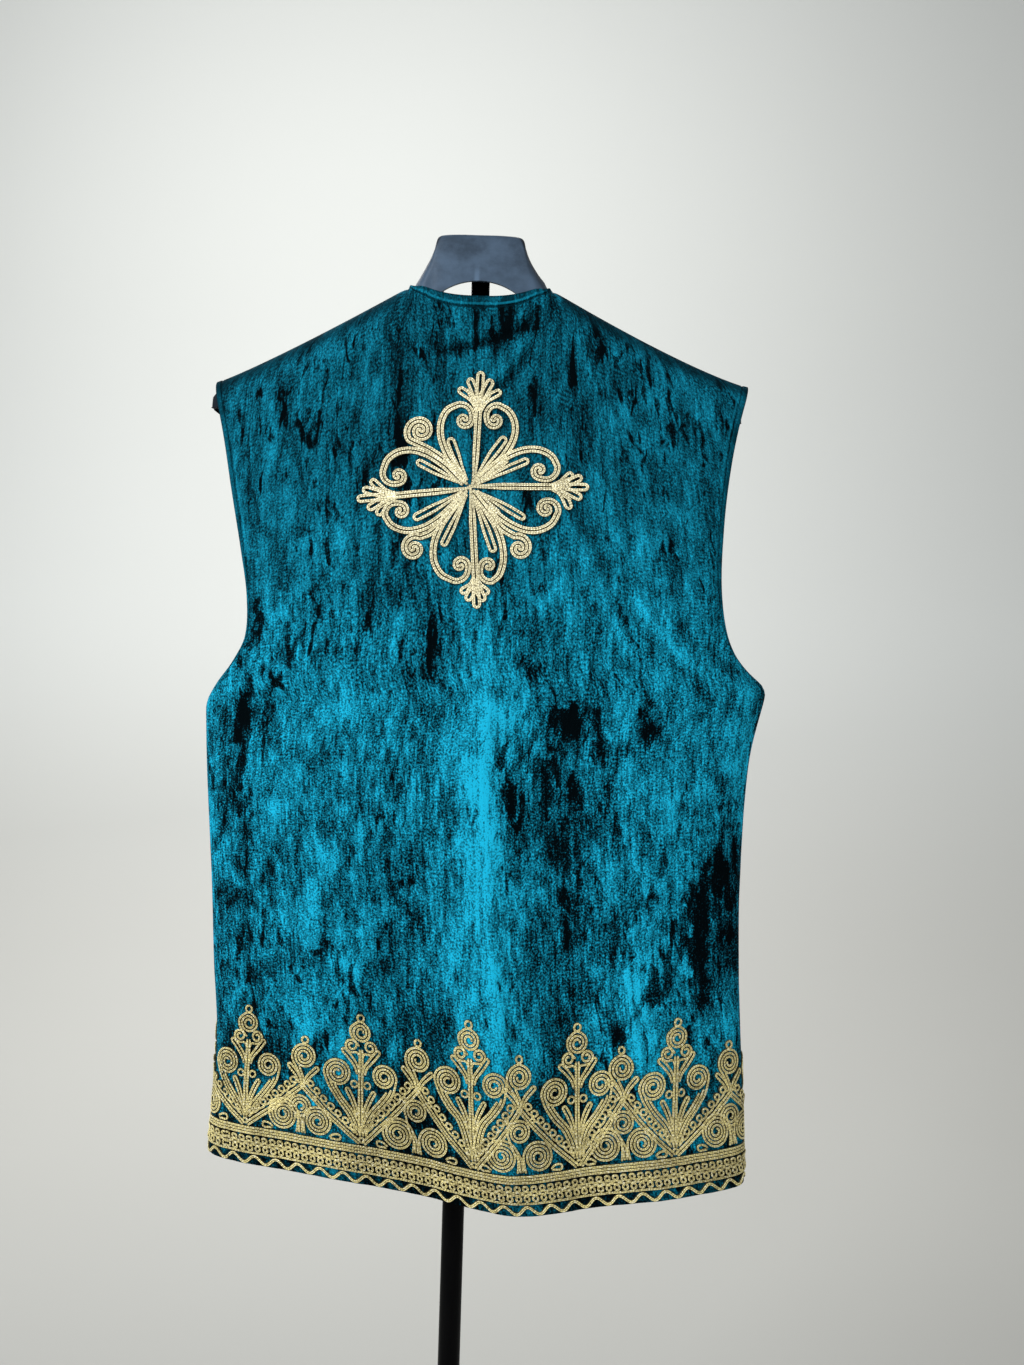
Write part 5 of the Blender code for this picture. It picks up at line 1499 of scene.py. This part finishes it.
def hem_band(here):
    """Straight cords, two rows of small loops and the lower cord."""
    first, last = hem_reach(here)
    work = Cordwork(here.at_hem, kept_between(first, last))

    def straight(height):
        return [(first - 1.0, height), (last + 1.0, height)]

    for k in range(3):
        work.lay(straight(BAND_TOP - 1.3 - 2.4 * k), 2.4, step=2.5, lift=0.1)
    for height, way in ((22.5, 1), (15.7, -1)):
        row = [(first - 2.0, height), (last + 2.0, height)]
        work.lay(loops_along(row, 7.2, 2.6, way, 1.05), 2.3, 1.4, 0.9)
    work.lay(straight(BAND_BOTTOM + 1.3), 2.4, step=2.5)
    return work


def hem_wave(here):
    """The wavy cord under the band."""
    first, last = hem_reach(here)
    work = Cordwork(here.at_hem)
    places = np.arange(first, last, 0.8)
    swing = -WAVE_SWING * np.cos(2 * math.pi * places / WAVE_LENGTH)
    work.lay(np.stack((places, WAVE_MIDDLE + swing), axis=1), 3.1, 1.5, blunt=True)
    return work


def armhole_braid(here, side):
    """Three rows of braid along the armhole edge of a front."""
    edge = 1.0 + SEAM_SHARE

    def surface(distance, height):
        row = 1.0 + np.asarray(height) / UPPER_HEIGHT
        lengths = np.array([quarter(float(r), False)[3][-1] for r in np.round(row, 2)])
        return here.at(side * (edge + np.asarray(distance) / lengths), row)

    work = Cordwork(surface)
    top = UPPER_HEIGHT * ARMHOLE_WORK_SHARE
    for distance in (3.3, 10.7):
        work.lay([(distance, 1.5), (distance, top)], step=2.5)
    work.lay(loops_along([(7.0, 4.0), (7.0, top - 3.0)], 6.6, 2.2), HEM_CORD - 0.4, 1.35, 1.0)
    return work


# ---------------------------------------------------------------- medallion
def turned(points, angle):
    """Flat points turned anticlockwise by degrees."""
    c, s = math.cos(math.radians(angle)), math.sin(math.radians(angle))
    points = np.asarray(points, dtype=float)
    return np.stack((points[:, 0] * c - points[:, 1] * s, points[:, 0] * s + points[:, 1] * c),
                    axis=1)


def wound_in(start, eye, radius, way, pitch, inner=1.5):
    """A curl that closes in on its eye from a place outside it."""
    reach = start - eye
    turns = (radius - inner) / pitch
    t = np.linspace(0.0, 1.0, int(30 * turns) + 8)
    angle = math.atan2(reach[1], reach[0]) + way * 2 * math.pi * turns * t
    line = radius + (inner - radius) * t
    line = line + (math.hypot(*reach) - radius) * (1.0 - smoothstep(0.0, 0.3 / turns, t))
    return eye + np.stack((np.cos(angle), np.sin(angle)), axis=1) * line[:, None]


def curled_pair(work, lead, eye, radius, way, angle=0.0, curl_braid=CURL_BRAID):
    """A braid laid double, which narrows as it winds in to its eye."""
    lead = resampled(lead, LEAD_STEP)
    curl = wound_in(lead[-1], np.array(eye), radius, way, 2 * curl_braid + 0.15)
    axis = resampled(np.concatenate((lead, curl[1:])), CURL_STEP)
    start = len(lead) * LEAD_STEP / CURL_STEP
    share = smoothstep(start * 0.8, start + 10.0, np.arange(len(axis)).astype(float))
    width = BRAID + (curl_braid - BRAID) * share
    path = folded(axis, width / 2)
    widths = np.concatenate((width, np.full(len(path) - 2 * len(axis), width[-1]), width[::-1]))
    path = np.concatenate((path, widths[:, None]), axis=1)
    work.lay_run(turned(path[:, :2], angle), path[:, 2], 1.7, 0.1, False, False)


def scroll_pair(work, scroll):
    """A pair that leaves the centre, arches beside the arm and curls in towards it."""
    points = [SCROLL_START] + [(a * scroll.top, b * scroll.spread) for a, b in SCROLL_ARCH]
    points = [(x, y * scroll.side) for x, y in points]
    eye = (scroll.eye_along, scroll.eye_across * scroll.side)
    curled_pair(work, smooth_path(points, 8), eye, scroll.radius, -scroll.side,
                ARMS[scroll.arm].angle)


def fan(work, arm):
    """Full loops that spread like a feather from the end of an arm, the middle one on top."""
    base = np.array((arm.base, arm.shift))

    def towards(lean, reach):
        return base + reach * np.array((math.cos(math.radians(lean)), math.sin(math.radians(lean))))

    order = sorted(arm.fan)
    for (lean, reach), (next_lean, next_reach) in zip(order, order[1:]):
        between = (lean + next_lean) / 2
        rib = [towards(between, 1.0), towards(between, min(reach, next_reach) * FAN_RIB_SHARE)]
        work.lay(turned(np.array(rib), arm.angle), FAN_RIB, 1.3, 1.4)
    for k, (lean, reach) in enumerate(arm.fan):
        bend = towards(lean * 0.62, reach * 0.42)
        axis = [base, bend, towards(lean, reach - 4.0)]
        work.lay(turned(hairpin(axis, FAN_HALF, 0.55), arm.angle), FAN_BRAID, 1.6, 1.2, 0.12 * k)


def medallion(here):
    """Outer curls, sheaves, loops and scrolls first, then the arms over them."""
    centre_x, centre_z = MEDALLION_CENTRE

    def surface(across, up):
        return here.at_view(centre_x - across, centre_z + up)

    def girth(path):
        return np.clip(DRAWN_GIRTH + np.hypot(path[:, 0], path[:, 1]) / DRAWN_REACH, 0.0, 1.0)

    work = Cordwork(surface, girth=girth)
    for curl in OUTER_CURLS:
        swing = math.radians(curl.start)
        entry = (curl.x + curl.radius * math.cos(swing), curl.y + curl.radius * math.sin(swing))
        curled_pair(work, smooth_path(list(curl.lead) + [entry], 8), (curl.x, curl.y),
                    curl.radius - 0.8, curl.way, 0.0, BRAID - 0.2)
    for sheaf in SHEAVES:
        for k in range(sheaf.cords):
            off = (k - (sheaf.cords - 1) / 2) * SHEAF_PITCH
            line = [(3.0, off * 0.3), (14.0, off * 0.9), (sheaf.reach - abs(off), off)]
            work.lay(turned(smooth_path(line, 8), sheaf.angle), BRAID, 1.5, 1.6)
    for loop in LOOPS:
        half = (loop.width - BRAID) / 2
        axis = [(6.0, 0.0), (loop.length * 0.5, 0.5), (loop.length - half - BRAID / 2, 0.0)]
        work.lay(turned(hairpin(axis, half, 0.2, 1.4), loop.angle), BRAID - 0.1, 1.7, 1.3)
    for scroll in SCROLLS:
        scroll_pair(work, scroll)
    for arm in ARMS:
        fan(work, arm)
        axis = [(-2.2, 0.0), (12.0, arm.shift), (arm.base + 9.0, arm.shift)]
        stem = resampled(smooth_path(axis, 8), LEAD_STEP)
        drawn_in = np.clip(0.25 + np.abs(stem[:, :1]) / 36.0, 0.0, 1.0)
        for offset in (-BRAID / 2, BRAID / 2):
            line = stem + (beside(stem, offset) - stem) * drawn_in
            work.lay(turned(line, arm.angle), BRAID, 1.7, 1.4, 0.3)
    return work


# ---------------------------------------------------------------- shoulder form
def form_entry(x):
    """Section of the form at a place across it."""
    flare = FLARE[1 if x > 0 else -1] * min(max((abs(x) - FLARE_START) / FLARE_REACH, 0.0), 1.0) ** 2
    neck_x = abs(x) - flare
    if neck_x <= NECK_BLOCK[-1].x:
        return FormRow(x, *(float(along(NECK_BLOCK, neck_x, key))
                            for key in ("top", "half_depth", "round_height", "power")))
    x = abs(x)
    line = float(np.minimum(shoulder_line(np.array(x)), shoulder_line(np.array(-x))))
    top = line - CLOTH_WALL / 2 - FORM_CLEARANCE
    end = max(x - TIP_ROUND_START, 0.0) / (FORM_TIP - TIP_ROUND_START)
    shrink = math.sqrt(max(1.0 - end**TIP_TAPER_POWER, 0.0))
    depth = TIP_HALF_DEPTH + (SHOULDER_HALF_DEPTH - TIP_HALF_DEPTH) * shrink
    top -= TIP_DROP * end**TIP_DROP_POWER
    return FormRow(x, top, depth, SHOULDER_ROUND_HEIGHT, SHOULDER_POWER)


def rim_height(x, arch_rise):
    """Height of the form's lower edge: an arch under the neck, then down to the tip."""
    if abs(x) < ARCH_HALF:
        return ARCH_SPRING + arch_rise * math.sqrt(1.0 - (x / ARCH_HALF) ** 2)
    share = (abs(x) - ARCH_HALF) / (FORM_TIP - ARCH_HALF)
    corner = max((abs(x) - TIP_CORNER_START) / (FORM_TIP - TIP_CORNER_START), 0.0)
    return ARCH_SPRING + (FORM_TIP_RIM - ARCH_SPRING) * share + TIP_CORNER_LIFT * corner**2


def form_section(x, inset):
    """Points over the form from its front rim to its back rim, evenly down each wall."""
    entry = form_entry(x)
    top, depth = entry.top - inset, max(entry.half_depth - inset, 1.0)
    centre = top - entry.round_height
    points = []
    for way, rise in ((-1, FRONT_ARCH_RISE), (1, BACK_ARCH_RISE)):
        rim = rim_height(x, rise)
        wall = []
        for step in range(FORM_RING + 1):
            angle = math.pi / 2 * step / FORM_RING
            y = way * depth * math.sin(angle) ** (2 / entry.power)
            z = centre + entry.round_height * math.cos(angle) ** (2 / entry.power)
            wall.append((x, y, max(z, rim)))
        for step in range(1, FORM_WALL_RINGS + 1):
            wall.append((x, way * depth, centre + (rim - centre) * step / FORM_WALL_RINGS
                         if centre > rim else rim))
        points += wall[:0:-1] if way < 0 else wall
    return points


def shoulder_form():
    """One moulded shell, open below."""
    half = sorted({round(x, 3) for start, end, count in FORM_SPANS
                   for x in np.linspace(start, end, count)})
    xs = [-x for x in half[:0:-1]] + half
    outer = np.array([form_section(x, 0.0) for x in xs])
    drawn_in = 1 - INNER_TIP_GAP / FORM_TIP
    inner = np.array([form_section(x * drawn_in if abs(x) > 60 else x, FORM_WALL) for x in xs])
    points, parts = shell(outer, inner)
    piece = mesh_object("form_shell", points, np.concatenate(parts), [material("form_plastic")])
    deselect()
    piece.select_set(True)
    bpy.context.view_layer.objects.active = piece
    edit_mode()
    bpy.ops.mesh.select_all(action="SELECT")
    bpy.ops.mesh.remove_doubles(threshold=0.00002)
    bpy.ops.mesh.normals_make_consistent(inside=False)
    object_mode()
    bpy.ops.object.shade_smooth_by_angle(angle=math.radians(40.0))
    enter(piece, "display", "shoulder_form")


# ---------------------------------------------------------------- tubes
def select_faces(piece, test):
    """Selects the faces of the edited mesh whose centre and normal pass a test."""
    bpy.ops.mesh.select_mode(type="FACE")
    object_mode()
    mesh = piece.data
    for group in (mesh.vertices, mesh.edges, mesh.polygons):
        group.foreach_set("select", [False] * len(group))
    for face in mesh.polygons:
        face.select = test(face.center, face.normal)
    edit_mode()


def make_tube(kind):
    """A cylinder as long as its node, whose ends are inset, bridged through and rounded."""
    low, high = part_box(kind.node)
    deselect()
    bpy.ops.mesh.primitive_cylinder_add(vertices=TUBE_SIDES, radius=kind.radius * MM,
                                        depth=high[2] - low[2],
                                        location=(0.0, 0.0, (high[2] + low[2]) / 2))
    piece = bpy.context.object
    piece.name = kind.name
    bpy.ops.object.transform_apply(location=True, rotation=True, scale=True)
    edit_mode()
    select_faces(piece, lambda centre, normal: abs(normal.z) > 0.9)
    bpy.ops.mesh.inset(thickness=TUBE_WALL * MM)
    bpy.ops.mesh.bridge_edge_loops()
    object_mode()
    modifier = piece.modifiers.new("edges", "BEVEL")
    modifier.width = TUBE_EDGE * MM
    modifier.segments = 2
    modifier.limit_method = "ANGLE"
    modifier.angle_limit = math.radians(30.0)
    bpy.ops.object.modifier_apply(modifier=modifier.name)
    bpy.ops.object.shade_smooth_by_angle(angle=math.radians(35.0))
    set_material(piece, "black_metal")
    enter(piece, kind.body, kind.node)


def set_material(piece, name):
    """Gives a piece one material in place of what it had."""
    piece.data.materials.clear()
    piece.data.materials.append(material(name))


# ---------------------------------------------------------------- stage
def make_floor():
    """A floor that sweeps up into a wall."""
    bend = np.radians(np.linspace(0.0, 90.0, 17))
    line = [(FLOOR_FRONT, 0.0)]
    line += [(COVE_Y - COVE_RADIUS * math.sin(a), COVE_RADIUS * (1.0 - math.cos(a))) for a in bend]
    line.append((COVE_Y - COVE_RADIUS, COVE_TOP))
    points = [(x / MM, y / MM, z / MM - FLOOR_DROP) for y, z in line
              for x in (COVE_WIDTH, -COVE_WIDTH)]
    faces = [(2 * k, 2 * k + 1, 2 * k + 3, 2 * k + 2) for k in range(len(line) - 1)]
    mesh_object("floor", np.array(points), faces, [material("pale_floor")])


def make_lights():
    """An even sky and four large soft lamps."""
    world = bpy.data.worlds.new("studio")
    bpy.context.scene.world = world
    world.use_nodes = True
    sky = world.node_tree.nodes["Background"].inputs
    sky["Color"].default_value = colour(232, 236, 240)
    sky["Strength"].default_value = SKY_STRENGTH
    for light in LIGHTS:
        data = bpy.data.lights.new(light.name, "AREA")
        data.size = light.size
        data.energy = light.power
        data.color = light.tone
        lamp = bpy.data.objects.new(light.name, data)
        bpy.context.scene.collection.objects.link(lamp)
        lamp.location = light.place
        lamp.visible_camera = False
        aim = Vector(light.goal) - Vector(light.place)
        lamp.rotation_euler = aim.to_track_quat("-Z", "Y").to_euler()


def make_camera():
    """Behind the vest, level with its middle and slightly rolled."""
    scene = bpy.context.scene
    data = bpy.data.cameras.new("camera")
    data.lens = CAMERA_LENS
    data.sensor_width = CAMERA_SENSOR
    data.clip_start = 0.02
    camera = bpy.data.objects.new("camera", data)
    scene.collection.objects.link(camera)
    turn = Matrix.Rotation(math.pi, 4, "Z") @ Matrix.Rotation(math.pi / 2, 4, "X")
    turn = turn @ Matrix.Rotation(math.radians(CAMERA_ROLL), 4, "Z")
    camera.matrix_world = Matrix.Translation(CAMERA_PLACE) @ turn
    scene.camera = camera
    scene.view_settings.view_transform = "Standard"


# ---------------------------------------------------------------- settings, operators and panel
class FolkVestSettings(bpy.types.PropertyGroup):
    """What a user would change on this vest."""
    velvet_colour: bpy.props.FloatVectorProperty(
        name="Velvet", description="Middle tone of the velvet's pile", subtype="COLOR", size=3,
        min=0.0, max=1.0, default=colour(14, 119, 146)[:3])
    braid_colour: bpy.props.FloatVectorProperty(
        name="Braid", description="Tone of the metal braid", subtype="COLOR", size=3,
        min=0.0, max=1.0, default=colour(205, 191, 128)[:3])
    form_colour: bpy.props.FloatVectorProperty(
        name="Form", description="Plastic of the shoulder form", subtype="COLOR", size=3,
        min=0.0, max=1.0, default=colour(73, 91, 111)[:3])
    stitch_length: bpy.props.FloatProperty(
        name="Stitch length", description="Length of one plaited stitch, in millimetres",
        default=2.3, min=0.5, max=10.0)


class FOLKVEST_OT_velvet(bpy.types.Operator):
    """Cut and drape the back and the two fronts"""
    bl_idname = "folk_vest.velvet"
    bl_label = "Velvet panels"

    def execute(self, context):
        for cut in CUTS:
            make_panel(cut)
        return {"FINISHED"}


class FOLKVEST_OT_hem(bpy.types.Operator):
    """Couch the hem's band, trees and wavy cord"""
    bl_idname = "folk_vest.hem"
    bl_label = "Hem braid"

    def execute(self, context):
        for which in SEWN_ON:
            here = panel(which)
            sew_on(which, hem_trees(here), "hem_trees_" + which, "hem_embroidery_" + which)
            sew_on(which, hem_band(here), "hem_band_" + which, None)
            sew_on(which, hem_wave(here), "hem_cord_" + which, "hem_wave_" + which)
        return {"FINISHED"}


class FOLKVEST_OT_armholes(bpy.types.Operator):
    """Couch the braid along the armholes of the fronts"""
    bl_idname = "folk_vest.armholes"
    bl_label = "Armhole braid"

    def execute(self, context):
        for which, side, node in (("front_left", 1, "armhole_braid_left"),
                                  ("front_right", -1, "armhole_braid_right")):
            sew_on(which, armhole_braid(panel(which), side), node + "_cords", node)
        return {"FINISHED"}


class FOLKVEST_OT_medallion(bpy.types.Operator):
    """Couch the medallion on the back"""
    bl_idname = "folk_vest.medallion"
    bl_label = "Back medallion"

    def execute(self, context):
        sew_on("back", medallion(panel("back")), "medallion_cords", "back_medallion", "pale_braid")
        return {"FINISHED"}


class FOLKVEST_OT_form(bpy.types.Operator):
    """Mould the shoulder form"""
    bl_idname = "folk_vest.form"
    bl_label = "Shoulder form"

    def execute(self, context):
        shoulder_form()
        return {"FINISHED"}


class FOLKVEST_OT_stand(bpy.types.Operator):
    """Make the tubes and give the clamp and the base their looks"""
    bl_idname = "folk_vest.stand"
    bl_label = "Stand"

    def execute(self, context):
        for kind in TUBES:
            make_tube(kind)
        for node, name in (("clamp_collar", "black_plastic"), ("clamp_knob", "black_plastic"),
                           ("base", "black_metal")):
            set_material(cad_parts[node], name)
        return {"FINISHED"}


class FOLKVEST_OT_stage(bpy.types.Operator):
    """Set the floor, lights and camera"""
    bl_idname = "folk_vest.stage"
    bl_label = "Stage"

    def execute(self, context):
        make_floor()
        make_lights()
        make_camera()
        return {"FINISHED"}


OPERATORS = (FOLKVEST_OT_velvet, FOLKVEST_OT_hem, FOLKVEST_OT_armholes, FOLKVEST_OT_medallion,
             FOLKVEST_OT_form, FOLKVEST_OT_stand, FOLKVEST_OT_stage)


class FOLKVEST_PT_panel(bpy.types.Panel):
    """Sidebar panel of the vest"""
    bl_label = "Folk vest"
    bl_space_type = "VIEW_3D"
    bl_region_type = "UI"
    bl_category = "Folk vest"

    def draw(self, context):
        for key in ("velvet_colour", "braid_colour", "form_colour", "stitch_length"):
            self.layout.prop(context.scene.folk_vest, key)
        for operator in OPERATORS:
            self.layout.operator(operator.bl_idname)


CLASSES = (FolkVestSettings, *OPERATORS, FOLKVEST_PT_panel)


def register():
    for entry in CLASSES:
        bpy.utils.register_class(entry)
    bpy.types.Scene.folk_vest = bpy.props.PointerProperty(type=FolkVestSettings)


def unregister():
    del bpy.types.Scene.folk_vest
    for entry in reversed(CLASSES):
        bpy.utils.unregister_class(entry)


def declare_cloth():
    """Works out the outer area of each panel."""
    for cut in CUTS:
        panel(cut.which).outer_area()


def main():
    register()
    for operator in OPERATORS:
        group, name = operator.bl_idname.split(".")
        getattr(getattr(bpy.ops, group), name)()
    declare_cloth()


if __name__ == "__main__":
    main()
